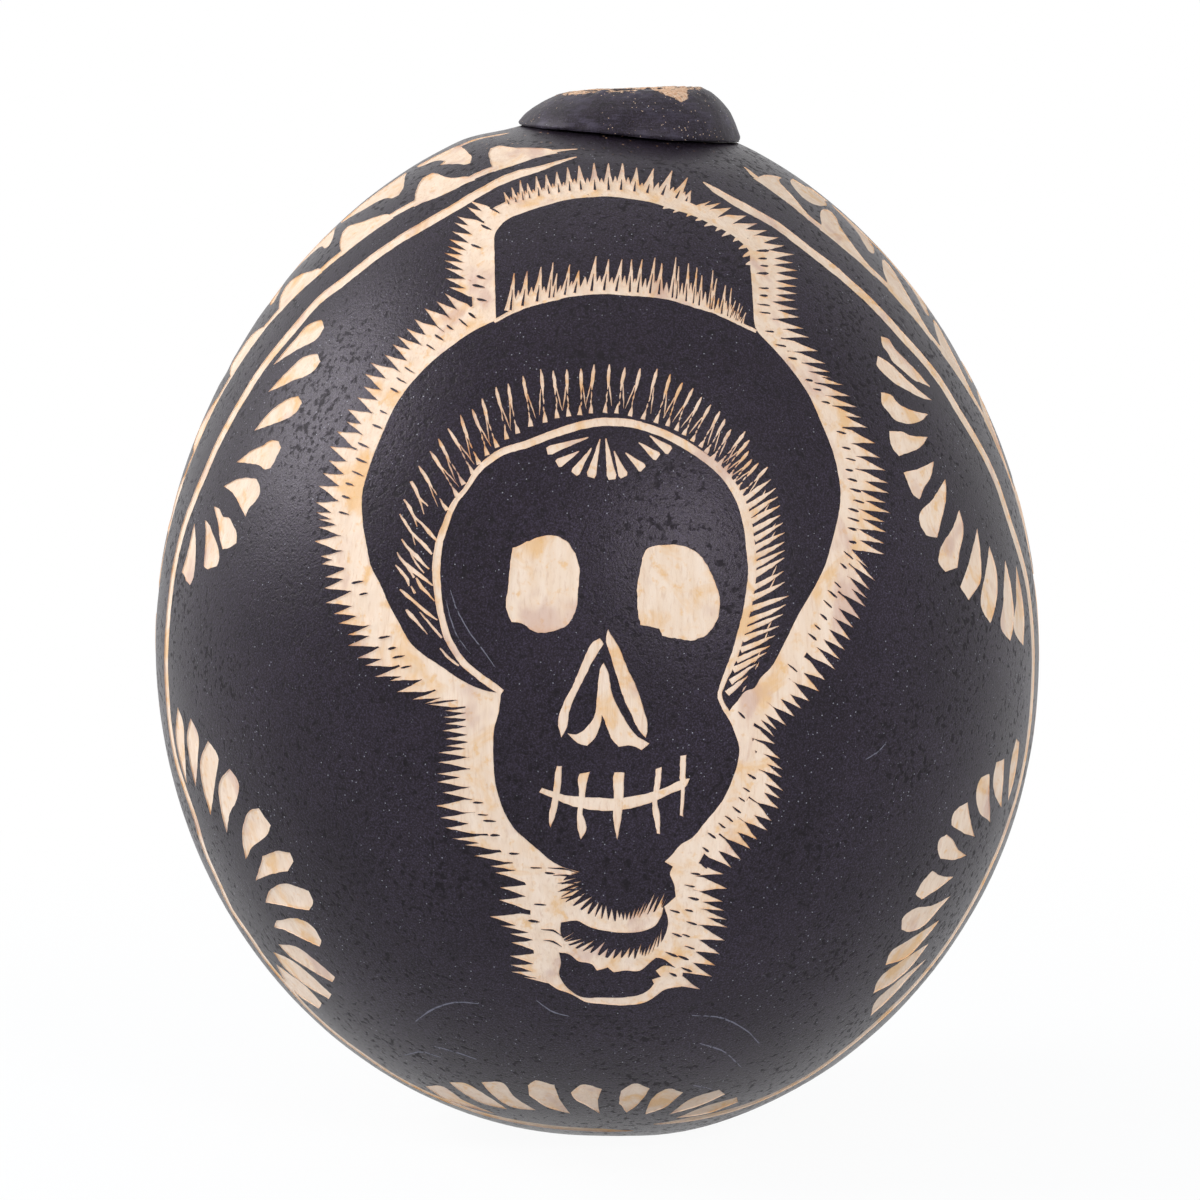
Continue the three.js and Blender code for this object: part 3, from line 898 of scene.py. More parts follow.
def cut_head(carving):
    """The head and hat that are left in the halo, and what is cut into neck, hat and brim."""
    for outline in (HEAD, NECK_GAP, COLLAR_GAP):
        carving.shape(KEEP, outline, 0.5)
    cut_fringe(carving, CHIN_TIPS, CHIN_ROOTS)
    cut_fringe(carving, NECK_TIPS, NECK_ROOTS)
    for sliver in NECK_COMB:
        carving.stroke(KEEP, sliver, (0.5, 1.9, 0.5))
    carving.stroke(CUT, BRIM_LINE, BRIM_LINE_WIDTHS)
    carving.stroke(CUT, HAT_BAND, [HAT_BAND_WIDTH] * len(HAT_BAND))
    cut_hat_spikes(carving)
    for tip, foot in BRIM_STRAWS:
        cut_straw(carving, tip, foot)
    for tip, foot in BRIM_SHADE:
        cut_shade(carving, tip, foot)
    for cut in BRIM_CUTS:
        carving.stroke(CUT, [p[:2] for p in cut], [p[2] for p in cut])


def cut_hat_spikes(carving):
    """The spires over the hat band, and the nicks in the crown's upper right edge."""
    spires = []
    for tip in HAT_BAND_TIPS:
        foot_x = tip[0] - HAT_BAND_LEAN * carving.chance.uniform(0.5, 1.3)
        spires.append((tip, (foot_x, between_points(HAT_BAND, foot_x) - 1)))
    cut_spires(carving, spires, 1.0, 0.84)
    for foot, tip in CROWN_NICKS:
        tip = Vector(foot).lerp(Vector(tip), carving.chance.uniform(0.5, 0.85))
        carving.stroke(CUT, (foot, Vector(foot).lerp(tip, 0.5), tip), (5.0, 3.2, 0.8))


def between_points(line, x):
    """The height of a line at x, where its points run from left to right."""
    for (x0, y0), (x1, y1) in zip(line, line[1:]):
        if x <= x1:
            return y0 + (y1 - y0) * (x - x0) / (x1 - x0)
    return line[-1][1]


def cut_face(carving):
    """Eyes, nose, mouth and the fan on the forehead."""
    for outline in (LEFT_EYE, RIGHT_EYE):
        carving.shape(CUT, outline, 1.3)
    for outline in (NOSE_LEFT, NOSE_RIGHT, NOSE_MIDDLE, MOUTH_LINE, *MOUTH_TEETH):
        carving.shape(CUT, outline, 0.8)
    for tip, end in FOREHEAD_FAN:
        tip, end = Vector(tip), Vector(end)
        carving.stroke(CUT, (tip, tip.lerp(end, 0.5), tip.lerp(end, 0.9), end), (1.2, 5.5, 9.5, 7))


def turned_about(place):
    """The same place on the back of the gourd."""
    return Vector((-place.x, -place.y, place.z))


def cut_leaves(carving):
    """The sprays of leaf cuts on the front, and all but the bottom one again on the back."""
    right, left = (LEAVES_UPPER_RIGHT, LEAVES_LOWER_RIGHT), (LEAVES_LOWER_LEFT, LEAVES_BOTTOM)
    for spray in (LEAVES_UPPER_LEFT, *right, *left):
        for leaf in spray:
            carving.shape(CUT, leaf)
            if spray is not LEAVES_BOTTOM:
                carving.lay(CUT, [turned_about(place) for place in carving.seen(leaf)])


def rind_line(carving, pixels, bearings):
    """Places along a line that starts at the front and goes on round the side."""
    front = [carving.sight.cast(p) for p in pixels]
    return front + [carving.gourd.bearing(*b) for b in bearings]


def beside(gourd, places, distance):
    """A line that keeps a distance from another one, across the rind."""
    line = []
    for i, place in enumerate(places):
        ahead = places[min(i + 1, len(places) - 1)] - places[max(i - 1, 0)]
        across = gourd.normal(place).cross(ahead).normalized()
        line.append(gourd.onto(place + across * distance))
    return line


def cut_scallops(carving, line, starts, length, base, height, swells_ahead, profile):
    """Humps beside a line: each swells from nothing to a blunt, rounded end.

    The starts and the length run along the line, and HUMP_PERIOD leads on from the last start. The
    humps stand on a base line beside it. A start comes with the share of the full height."""
    gourd = carving.gourd
    run = [0.0]
    for a, b in zip(line, line[1:]):
        run.append(run[-1] + (b - a).length)

    def at(distance, out):
        distance = min(distance, run[-1] - 1e-3)
        i = next(k for k in range(len(run) - 1) if run[k + 1] > distance)
        span = line[i + 1] - line[i]
        place = line[i] + span * ((distance - run[i]) / (run[i + 1] - run[i]))
        across = gourd.normal(place).cross(span).normalized()
        return gourd.onto(place + across * out)

    starts = list(starts)
    while starts[-1][0] + HUMP_PERIOD + length < run[-1] - 2:
        starts.append((starts[-1][0] + HUMP_PERIOD * carving.chance.uniform(0.985, 1.015), 1))
    for position, share_of_height in starts:
        size = carving.chance.uniform(0.95, 1.04) * share_of_height
        points = []
        for share, out in profile:
            where = share if swells_ahead else 1 - share
            points.append(at(position + where * length, base + out * height * size))
        carving.lay(CUT, [p for p, _ in traced(points, True, LINE_STEP)])


def cut_borders(carving, sizes):
    """The frame line, the border line, the wave between it and the far line, on both sides."""
    gourd = carving.gourd
    thick = sizes.frame_line / MM
    for front, side in ((FRAME_LEFT_FRONT, FRAME_LEFT_SIDE), (FRAME_RIGHT_FRONT, FRAME_RIGHT_SIDE)):
        line = rind_line(carving, front, side)
        shares = [1.2 - 0.2 * smooth_step(p.z, 70, 115) for p in line[3:]]
        widths = [0.3, thick * 0.75] + [thick * share for share in shares] + [0.4]
        carving.band(CUT, line, widths)
        carving.band(CUT, [turned_about(p) for p in line], widths)
    neck = neck_place(gourd, sizes).translation
    thick, wide = sizes.border_line / MM, sizes.border_width / MM
    left = (EDGE_LEFT_FRONT, EDGE_LEFT_SIDE, -1, 1.07, LEFT_HUMPS)
    right = (EDGE_RIGHT_FRONT, EDGE_RIGHT_SIDE, 1, 1.0, RIGHT_HUMPS)
    for front, side, sign, share, runs in (left, right):
        line = rind_line(carving, front, side)
        carving.band(CUT, line, [0.3, thick * 0.8] + [thick] * (len(line) - 3) + [0.4])
        even = [p for p, _ in traced(line, False, BORDER_STEP)]
        outer, high = sign * wide * share, sign * wide * HUMP_HEIGHT
        far = [p for p in beside(gourd, even, outer) if (p - neck).length > RING_REACH]
        carving.band(CUT, far, [0.3] + [thick] * (len(far) - 2) + [0.4])
        for starts, length, base, height, ahead, profile in runs:
            cut_scallops(carving, even, starts, length, outer * base, high * height, ahead, profile)


def cut_agave(carving):
    """A plain agave on the back: pointed leaves that fan from a heart, over two ground strokes."""
    gourd = carving.gourd

    def back(x, z):
        away = gourd.bearing(0, z).length_squared - z * z
        return Vector((x, math.sqrt(max(away - x * x, 1)), z))

    heart = 50.0
    for i, degrees in enumerate((-78, -56, -36, -17, 0, 18, 37, 57, 79)):
        turn = math.radians(degrees)
        reach = 46 - 0.19 * abs(degrees) + (2.5 if i % 2 else 0)
        bend = math.radians(degrees * 0.22)
        points = []
        for share in (0.1, 0.35, 0.62, 0.85, 1.0):
            lean = turn + bend * share
            distance = 7 + reach * share
            points.append(back(distance * math.sin(lean), heart + distance * math.cos(lean)))
        carving.band(CUT, points, (2.6, 7.2, 7.4, 4.0, 0.3))
        carving.band(KEEP, points[:4] + [points[3].lerp(points[4], 0.4)], (0.6, 1.0, 0.9, 0.6, 0.2))
    for width, height in ((30, 44), (20, 38)):
        points = [gourd.onto(back(x * width / 2, height - 1.5 * abs(x))) for x in (-2, -1, 0, 1, 2)]
        carving.band(CUT, points, (0.3, 2.4, 3.2, 2.4, 0.3))


def cut_scuffs(carving):
    """Hair-thin scuffs. They are gone over twice, under the head and on it, and come out uneven."""
    for line in SCUFFS:
        widths = [0.5] + [1.1] * (len(line) - 2) + [0.5]
        carving.stroke(SCUFF, line, widths)


def draw_carving(gourd, sizes):
    """All outlines on the rind, from the lowest to the one that wins over all others."""
    carving = Carving(gourd)
    cut_borders(carving, sizes)
    cut_agave(carving)
    cut_leaves(carving)
    cut_scuffs(carving)
    cut_halo(carving)
    cut_head(carving)
    cut_scuffs(carving)
    cut_face(carving)
    foot = sizes.stand_radius / MM + 0.15
    turns = [2 * math.pi * i / 90 for i in range(90)]
    carving.lay(BARE, [Vector((foot * math.cos(t), foot * math.sin(t), 0)) for t in turns], 0.5)
    return carving.outlines


def neck_place(gourd, sizes):
    """The neck's frame in mm: where the ring's axis meets the outside of the rind."""
    offset = sizes.ring_offset / MM
    foot = Vector((offset, 0, gourd.level + gourd.rise(offset)))
    return Matrix.Translation(foot) @ Matrix.Rotation(sizes.ring_lean, 4, "Y")


def on_neck_axis(gourd, neck, x, y, inset):
    """The height in the neck's frame at which the skin lies at (x, y)."""
    def is_outside(height):
        return gourd.outside(neck @ Vector((x, y, height)), inset) > 0

    return sum(halved(-14.0, 6.0, is_outside, 30)) / 2


def mouth_loop(gourd, neck, radius, inset):
    """The skin's edge at the mouth hole."""
    places = []
    for i in range(MOUTH_STEPS):
        turn = 2 * math.pi * i / MOUTH_STEPS
        x, y = radius * math.cos(turn), radius * math.sin(turn)
        places.append(neck @ Vector((x, y, on_neck_axis(gourd, neck, x, y, inset))))
    return places


def scattered(gourd, step, neck, mouth_radius):
    """Evenly spread chart points over the whole skin, apart from the mouth hole."""
    area = 4 * math.pi * gourd.belly * gourd.stalk
    count = int(area / (step * step))
    golden = math.pi * (3 - math.sqrt(5))
    inverse = neck.inverted()
    spots = []
    for i in range(count):
        height = 1 - 2 * (i + 0.5) / count
        polar = math.acos(height)
        rho = math.tan(polar / 2)
        spot = Vector((rho * math.cos(golden * i), rho * math.sin(golden * i)))
        place = gourd.point(spot)
        local = inverse @ place
        if local.z > -20 and math.hypot(local.x, local.y) < mouth_radius + step * 0.6:
            continue
        spots.append((spot, place))
    return spots


def anticlockwise(outline):
    """The same outline, started at its leftmost point and with its inside on the left."""
    start = min(range(len(outline)), key=lambda i: outline[i].x)
    outline = outline[start:] + outline[:start]
    if (outline[0] - outline[-1]).cross(outline[1] - outline[0]) < 0:
        outline = outline[:1] + outline[:0:-1]
    return outline


def add_skin(mesh, gourd, neck, mouth_radius, inset, step, outlines=(), outward=True):
    """Adds one skin of the gourd, open at the mouth, and returns its faces by what is done to them."""
    rim = mouth_loop(gourd, neck, mouth_radius, inset)
    chart = anticlockwise([gourd.chart(place, inset) for place in rim])
    loops = [list(range(len(chart)))]
    kinds = [KEEP]
    for kind, outline in outlines:
        loops.append(list(range(len(chart), len(chart) + len(outline))))
        kinds.append(kind)
        chart.extend(anticlockwise(outline))
    near = kdtree.KDTree(len(chart))
    for i, spot in enumerate(chart):
        near.insert(gourd.point(spot), i)
    near.balance()
    gap = step * 0.36
    for spot, place in scattered(gourd, step, neck, mouth_radius):
        if near.find(place)[2] > gap:
            chart.append(spot)
    spots, _, faces, _, _, covers = geometry.delaunay_2d_cdt(chart, [], loops, 1, 1e-7, True)
    vertices = [mesh.verts.new(gourd.point(spot, inset)) for spot in spots]
    made = {KEEP: [], CUT: [], SCUFF: [], BARE: []}
    for face, cover in zip(faces, covers):
        corners = [vertices[i] for i in (reversed(face) if outward else face)]
        if len(set(corners)) > 2:
            made[kinds[max(cover)]].append(mesh.faces.new(corners))
    return made


def sink(mesh, gourd, faces, depth):
    """Cuts faces into the rind with upright walls, deeper away from the edges of the cut."""
    chosen = set(faces)
    rim = {v for f in faces for v in f.verts if any(g not in chosen for g in v.link_faces)}
    edge = kdtree.KDTree(len(rim))
    for i, vertex in enumerate(rim):
        edge.insert(vertex.co, i)
    edge.balance()
    depths = {}
    for vertex in {v for f in faces for v in f.verts}:
        away = 0.0 if vertex in rim else edge.find(vertex.co)[2]
        ripple = 0.5 + noise.noise(vertex.co * 0.7)
        depths[tuple(vertex.co)] = depth * (0.45 + 0.55 * smooth_step(away, 0, 1.6) * (0.7 + 0.5 * ripple))
    before = set(mesh.faces)
    result = bmesh.ops.extrude_face_region(mesh, geom=faces)
    for item in result["geom"]:
        if isinstance(item, bmesh.types.BMVert):
            item.co -= gourd.normal(item.co) * depths[tuple(item.co)]
    floor = {f for f in result["geom"] if isinstance(f, bmesh.types.BMFace)}
    walls = [f for f in mesh.faces if f not in before and f not in floor]
    bmesh.ops.delete(mesh, geom=faces, context="FACES")
    return floor, walls


def add_object(mesh, name, materials):
    """Turns a mesh into an object with these materials."""
    data = bpy.data.meshes.new(name)
    mesh.to_mesh(data)
    mesh.free()
    for material in materials:
        data.materials.append(material)
    thing = bpy.data.objects.new(name, data)
    bpy.context.collection.objects.link(thing)
    return thing


def finish_piece(mesh, name, materials, node, walls=()):
    """Turns a mesh in mm into a finished piece in metres, which stands for a CAD node."""
    mark_edges(mesh, walls)
    report_mesh(name, mesh)
    bmesh.ops.scale(mesh, vec=(MM, MM, MM), verts=mesh.verts)
    piece = add_object(mesh, name, materials)
    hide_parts(node)
    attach(piece, "root")


class Wire:
    """A socket of a material that can be used in sums."""

    def __init__(self, recipe, socket):
        self.recipe = recipe
        self.socket = socket

    def __add__(self, other):
        return self.recipe.math("ADD", self, other)

    def __radd__(self, other):
        return self.recipe.math("ADD", other, self)

    def __sub__(self, other):
        return self.recipe.math("SUBTRACT", self, other)

    def __mul__(self, other):
        return self.recipe.math("MULTIPLY", self, other)

    def __lt__(self, other):
        return self.recipe.math("LESS_THAN", self, other)

    def fade(self, low, high):
        """0 below low, 1 above high, and smooth between them."""
        settings = {"interpolation_type": "SMOOTHSTEP"}
        return self.recipe.node("ShaderNodeMapRange", settings, {0: self, 1: low, 2: high, 3: 0.0, 4: 1.0})


class Recipe:
    """Makes one material, or the surroundings, node by node."""

    def __init__(self, name, library="materials"):
        self.made = getattr(bpy.data, library).new(name)
        self.made.use_nodes = True
        self.tree = self.made.node_tree
        self.tree.nodes.clear()

    def node(self, kind, settings=None, sockets=None, output=0):
        node = self.tree.nodes.new(kind)
        for key, value in (settings or {}).items():
            setattr(node, key, value)
        for key, value in (sockets or {}).items():
            if isinstance(value, Wire):
                self.tree.links.new(value.socket, node.inputs[key])
            else:
                node.inputs[key].default_value = value
        return Wire(self, node.outputs[output])

    def math(self, operation, *terms):
        return self.node("ShaderNodeMath", {"operation": operation}, dict(enumerate(terms)))

    def place(self, stretch=(1, 1, 1)):
        """The place on the piece in mm, stretched along its axes."""
        spot = self.node("ShaderNodeTexCoord", output="Object")
        scale = tuple(s / MM for s in stretch)
        return self.node("ShaderNodeVectorMath", {"operation": "MULTIPLY"}, {0: spot, 1: scale})

    def clouds(self, place, scale, detail=3.0, rough=0.55, warp=0.0):
        sockets = {"Vector": place, "Scale": scale, "Detail": detail, "Roughness": rough, "Distortion": warp}
        return self.node("ShaderNodeTexNoise", None, sockets)

    def specks(self, place, scale, size):
        """1 inside scattered round specks, and 0 between them."""
        sockets = {"Vector": place, "Scale": scale, "Randomness": 1.0}
        return self.node("ShaderNodeTexVoronoi", {"feature": "F1"}, sockets) < size

    def blend(self, factor, first, second):
        settings = {"data_type": "RGBA", "blend_type": "MIX", "clamp_factor": True}
        first = first if isinstance(first, Wire) else (*first, 1.0)
        second = second if isinstance(second, Wire) else (*second, 1.0)
        return self.node("ShaderNodeMix", settings, {0: factor, 6: first, 7: second}, output=2)

    def bump(self, height, distance):
        return self.node("ShaderNodeBump", None, {"Height": height, "Distance": distance})

    def seen_white(self, shader, white, share=1.0):
        """Shows the camera, and mirrors and glass, the white, and leaves the shader for the rest."""
        rays = self.node("ShaderNodeLightPath").socket.node.outputs
        seen = self.math("MAXIMUM", Wire(self, rays["Is Camera Ray"]), Wire(self, rays["Is Glossy Ray"]))
        seen = self.math("MAXIMUM", seen, Wire(self, rays["Is Transmission Ray"]))
        return self.node("ShaderNodeMixShader", None, {0: seen * share, 1: shader, 2: white})

    def finish(self, shader, output="ShaderNodeOutputMaterial"):
        """Sends the shader to the output and returns what was made."""
        end = self.tree.nodes.new(output)
        self.tree.links.new(shader.socket, end.inputs["Surface"])
        return self.made

    def surface(self, **sockets):
        """The material of a principled shader with these inputs."""
        names = {key.replace("_", " ").title().replace("Ior", "IOR"): value for key, value in sockets.items()}
        return self.finish(self.node("ShaderNodeBsdfPrincipled", None, names))


def toned(colour, share):
    """A colour times a share, which is paler if the share is over 1."""
    return tuple(part * share for part in colour)


def pits(recipe, place):
    """Where the rind is pitted: small dark spots in drifts."""
    drifts = recipe.clouds(place, 0.07, 3)
    return (recipe.clouds(place, 1.15, 2, 0.5) + (drifts - 0.5) * 0.35).fade(0.545, 0.71)


def dyed_colour(recipe, colour, place, sizes):
    """Black dye as it takes on a rind: cloudy, pitted, with paler grains that are partly painted glints, and
    dusted with pale specks.
    """
    clouds = recipe.clouds(place, 0.05, 3)
    patches = recipe.clouds(place, 0.3, 5, 0.65)
    grain = recipe.clouds(place, 4.2, 3, 0.7)
    cloudy = patches.fade(0.3, 0.7) * 0.6 + clouds.fade(0.35, 0.7) * 0.4
    tint = recipe.blend(cloudy, toned(colour, 0.4), colour)
    # Pale bluish grains: partly the dye's own grain, partly painted glints where the grain catches the light
    tint = recipe.blend(grain.fade(0.42, 0.7) * (0.3 + clouds * 0.9), tint, sizes.pale_grain_and_painted_glint)
    tint = recipe.blend(pits(recipe, place) * 0.8, tint, toned(colour, 0.2))
    few = recipe.clouds(place, 0.11, 2).fade(0.44, 0.58)
    return recipe.blend(recipe.specks(place, 1.1, 0.1) * few * 0.85, tint, sizes.dust)


def dyed_rind(sizes):
    """The dyed skin, with crumbs of raw rind where it meets the ring."""
    recipe = Recipe("dyed_rind")
    place = recipe.place()
    tint = dyed_colour(recipe, sizes.dye, place, sizes)
    height = recipe.node("ShaderNodeSeparateXYZ", None, {0: place}, "Z")
    crumbs = recipe.specks(place, 0.75, 0.12) * height.fade(143, 147.5)
    tint = recipe.blend(crumbs * 0.9, tint, sizes.lip)
    grain = recipe.clouds(place, 2.8, 3, 0.65)
    hollows = pits(recipe, place)
    rough = 0.2 + grain * 0.13 + hollows * 0.25 + recipe.clouds(place, 0.09, 2) * 0.1
    bump = recipe.bump(grain - hollows * 0.5, 0.00006)
    return recipe.surface(
        base_color=tint, roughness=rough, normal=bump, specular_ior_level=0.22, specular_tint=SHEEN_TINT
    )


def scuffed_dye(sizes):
    recipe = Recipe("scuffed_dye")
    place = recipe.place()
    scratch = recipe.clouds(place, 1.3, 3).fade(0.3, 0.5)
    tint = recipe.blend(scratch * 0.8, dyed_colour(recipe, sizes.dye, place, sizes), sizes.scuff)
    return recipe.surface(base_color=tint, roughness=0.6, specular_ior_level=0.2)


def raw_rind(sizes):
    """Rind under the dye: pale, with upright fibres, ochre stains and pinkish bruises."""
    recipe = Recipe("raw_rind")
    place = recipe.place()
    fibres = recipe.clouds(recipe.place((2.3, 2.3, 0.17)), 1.0, 4, 0.62, 0.25)
    streaks = recipe.clouds(recipe.place((0.75, 0.75, 0.06)), 1.0, 3)
    stains = recipe.clouds(place, 0.17, 4, 0.6, 0.6)
    spots = recipe.clouds(place, 0.62, 3, 0.6)
    bruises = recipe.clouds(recipe.place((1, 1, 0.7)), 0.13, 3, 0.55, 0.4)
    tint = recipe.blend(streaks.fade(0.3, 0.72), sizes.raw, sizes.raw_pale)
    for factor, second in (
        (fibres.fade(0.5, 0.25) * 0.45, sizes.raw_deep),
        (stains.fade(0.5, 0.68) * 0.65, sizes.stain),
        (spots.fade(0.57, 0.72) * 0.6, sizes.stain),
        (bruises.fade(0.54, 0.7) * 0.55, sizes.bruise),
    ):
        tint = recipe.blend(factor, tint, second)
    bump = recipe.bump(fibres + streaks * 0.6, 0.00012)
    return recipe.surface(base_color=tint, roughness=0.6 + fibres * 0.2, normal=bump, specular_ior_level=0.25)


def inner_rind(sizes):
    recipe = Recipe("inner_rind")
    place = recipe.place()
    patches = recipe.clouds(place, 0.2, 5)
    tint = recipe.blend(patches.fade(0.3, 0.7), sizes.lip, sizes.raw_deep)
    bump = recipe.bump(recipe.clouds(place, 0.8, 4), 0.0004)
    return recipe.surface(base_color=tint, roughness=0.8, normal=bump)


def ring_finish(sizes):
    """Dyed like the rind, brushed level, with paler brush-streaked patches of painted sheen, and raw where
    the lip was cut.
    """
    recipe = Recipe("dyed_ring")
    place = recipe.place()
    tint = dyed_colour(recipe, sizes.ring_dye, place, sizes)
    brush = recipe.clouds(recipe.place((0.3, 0.3, 2.6)), 1.0, 4, 0.6, 0.3)
    # Painted sheen: paler brush-streaked patches of colour that stand in for the ring's highlights
    painted_sheen = recipe.clouds(place, 0.24, 4, 0.6)
    tint = recipe.blend((brush * 0.5 + painted_sheen).fade(0.72, 0.98) * 0.7, tint, sizes.ring_painted_sheen)
    crumbs = recipe.specks(place, 1.5, 0.13) * recipe.clouds(place, 0.2, 2).fade(0.44, 0.58)
    tint = recipe.blend(crumbs * 0.6, tint, sizes.lip_pale)
    raw = recipe.node("ShaderNodeAttribute", {"attribute_name": "raw"}, output=2)
    fibre = recipe.clouds(recipe.place((1.6, 1.6, 0.5)), 1.0, 4, 0.65)
    ragged = recipe.clouds(recipe.place((0.9, 0.9, 1.0)), 1.0, 6, 0.78)
    worn = (raw + (ragged - 0.5) * 3.0).fade(0.52, 0.6)
    lip = recipe.blend(fibre.fade(0.35, 0.65), sizes.lip, sizes.lip_pale)
    lip = recipe.blend(recipe.clouds(place, 1.9, 3).fade(0.6, 0.68) * 0.9, lip, sizes.ring_dye)
    rough = 0.38 + brush * 0.16 + worn * 0.3
    bump = recipe.bump(brush * 0.5 + fibre * (0.3 + worn), 0.0002)
    tint = recipe.blend(worn, tint, lip)
    return recipe.surface(
        base_color=tint, roughness=rough, normal=bump, specular_ior_level=0.25, specular_tint=SHEEN_TINT
    )


def pitch_finish(sizes):
    recipe = Recipe("pitch")
    place = recipe.place()
    tint = recipe.blend(recipe.clouds(place, 0.5, 3), sizes.pitch, toned(sizes.pitch, 2.2))
    rough = 0.22 + recipe.clouds(place, 0.8, 3) * 0.3
    bump = recipe.bump(recipe.clouds(place, 0.9, 3), 0.0003)
    return recipe.surface(base_color=tint, roughness=rough, normal=bump, specular_ior_level=0.12)


def wax_finish(sizes):
    recipe = Recipe("beeswax")
    place = recipe.place()
    flow = recipe.clouds(recipe.place((0.35, 0.35, 0.1)), 1.0, 4)
    tint = recipe.blend(flow.fade(0.3, 0.7), sizes.wax, toned(sizes.wax, 0.6))
    rough = 0.3 + recipe.clouds(place, 0.4, 3) * 0.25
    return recipe.surface(base_color=tint, roughness=rough, normal=recipe.bump(flow, 0.0006))


def measured(context):
    """The settings, the grown form and the neck's frame."""
    sizes = context.scene.mezcal_gourd
    gourd = Calabash(sizes)
    return sizes, gourd, neck_place(gourd, sizes)


def mouth_radius(sizes):
    return (sizes.bore_radius + sizes.spigot_wall + sizes.spigot_clearance) / MM


def mark_edges(mesh, walls):
    """Smooth faces, with crisp edges at the rims of the cuts and wherever the surface turns sharply."""
    walls = set(walls)
    for face in mesh.faces:
        face.smooth = True
    for edge in mesh.edges:
        if len(edge.link_faces) == 2:
            first, second = edge.link_faces
            rim = (first in walls) != (second in walls)
            edge.smooth = not (rim or edge.calc_face_angle(0) > CREASE)


def report_mesh(name, mesh):
    """Prints a piece's size, and stops on one with an open edge."""
    open_edges = sum(1 for edge in mesh.edges if not edge.is_manifold)
    triangles = sum(len(face.verts) - 2 for face in mesh.faces)
    volume = round(mesh.calc_volume(signed=True))
    print(name, "triangles", triangles, "open edges", open_edges, "volume", volume)
    if open_edges:
        raise RuntimeError(f"{name} has {open_edges} open edges")


def close_wall(mesh):
    """Joins the outer and the inner skin round the mouth."""
    bmesh.ops.bridge_loops(mesh, edges=[edge for edge in mesh.edges if edge.is_boundary])


def sag(x, y):
    """How far the rind lies below its smooth form under the ring, at a place in the neck's frame."""
    return (1 - smooth_step(math.hypot(x, y), 17, 25)) * (1 - smooth_step(x, 5, 18))


def seat_height(gourd, neck, x, y, gap):
    """The height in the neck's frame of a place that stands a gap off the sagged rind."""
    return on_neck_axis(gourd, neck, x, y, -gap) - sag(x, y)


def seam(x, width):
    """How far the joint under the ring gapes: not at its left, and most in its middle."""
    return width * smooth_step(x, -15, -4) * (1 - 0.8 * smooth_step(x, 9, 16))


def swell(mesh, gourd, neck):
    """Gives the rind its slight unevenness, and makes it fuller at the lower right."""
    to_neck = neck.inverted()
    for vertex in mesh.verts:
        if vertex.co.z > gourd.level:
            local = to_neck @ vertex.co
            vertex.co -= gourd.normal(vertex.co) * sag(local.x, local.y)
        wave = 0.5 + 0.5 * noise.noise(vertex.co * 0.035)
        dimple = 0.5 + 0.5 * noise.noise(vertex.co * 0.16 + Vector((9, 4, 2)))
        inwards = (0.14 * wave + 0.06 * dimple) * smooth_step(vertex.co.z, 0, 6)
        vertex.co += gourd.normal(vertex.co) * (fuller(vertex.co) - inwards)


class GOURD_OT_shell(bpy.types.Operator):
    """The calabash's rind: its carved and dyed outside, its wall and its inside"""

    bl_idname = "gourd.shell"
    bl_label = "Rind"

    def execute(self, context):
        sizes, gourd, neck = measured(context)
        hole = mouth_radius(sizes)
        mesh = bmesh.new()
        materials = [dyed_rind(sizes), raw_rind(sizes), scuffed_dye(sizes), inner_rind(sizes)]
        dyed, raw, scuffed, inner = range(len(materials))
        made = add_skin(mesh, gourd, neck, hole, 0.0, GRID_STEP, draw_carving(gourd, sizes))
        floor, walls = sink(mesh, gourd, made[CUT], sizes.cut_depth / MM)
        for index, faces in ((raw, made[BARE]), (scuffed, made[SCUFF]), (raw, floor), (raw, walls)):
            for face in faces:
                face.material_index = index
        swell(mesh, gourd, neck)
        outside = set(mesh.faces)
        add_skin(mesh, gourd, neck, hole, sizes.rind_thickness / MM, INSIDE_STEP, outward=False)
        close_wall(mesh)
        for face in mesh.faces:
            if face not in outside:
                face.material_index = inner
        loose = [vertex for vertex in mesh.verts if not vertex.link_faces]
        bmesh.ops.delete(mesh, geom=loose, context="VERTS")
        finish_piece(mesh, "carved_rind", materials, "gourd_shell", walls)
        return {"FINISHED"}


def spun(points, steps):
    """A ring of a closed outline of (radius, height) points, turned about +Z."""
    mesh = bmesh.new()
    corners = [mesh.verts.new((r, 0, z)) for r, z in points]
    edges = [mesh.edges.new(pair) for pair in zip(corners, corners[1:] + corners[:1])]
    bmesh.ops.spin(
        mesh, geom=[*corners, *edges], cent=(0, 0, 0), axis=(0, 0, 1), angle=2 * math.pi,
        steps=steps, use_merge=True,
    )
    bmesh.ops.remove_doubles(mesh, verts=mesh.verts, dist=1e-4)
    bmesh.ops.recalc_face_normals(mesh, faces=mesh.faces)
    return mesh


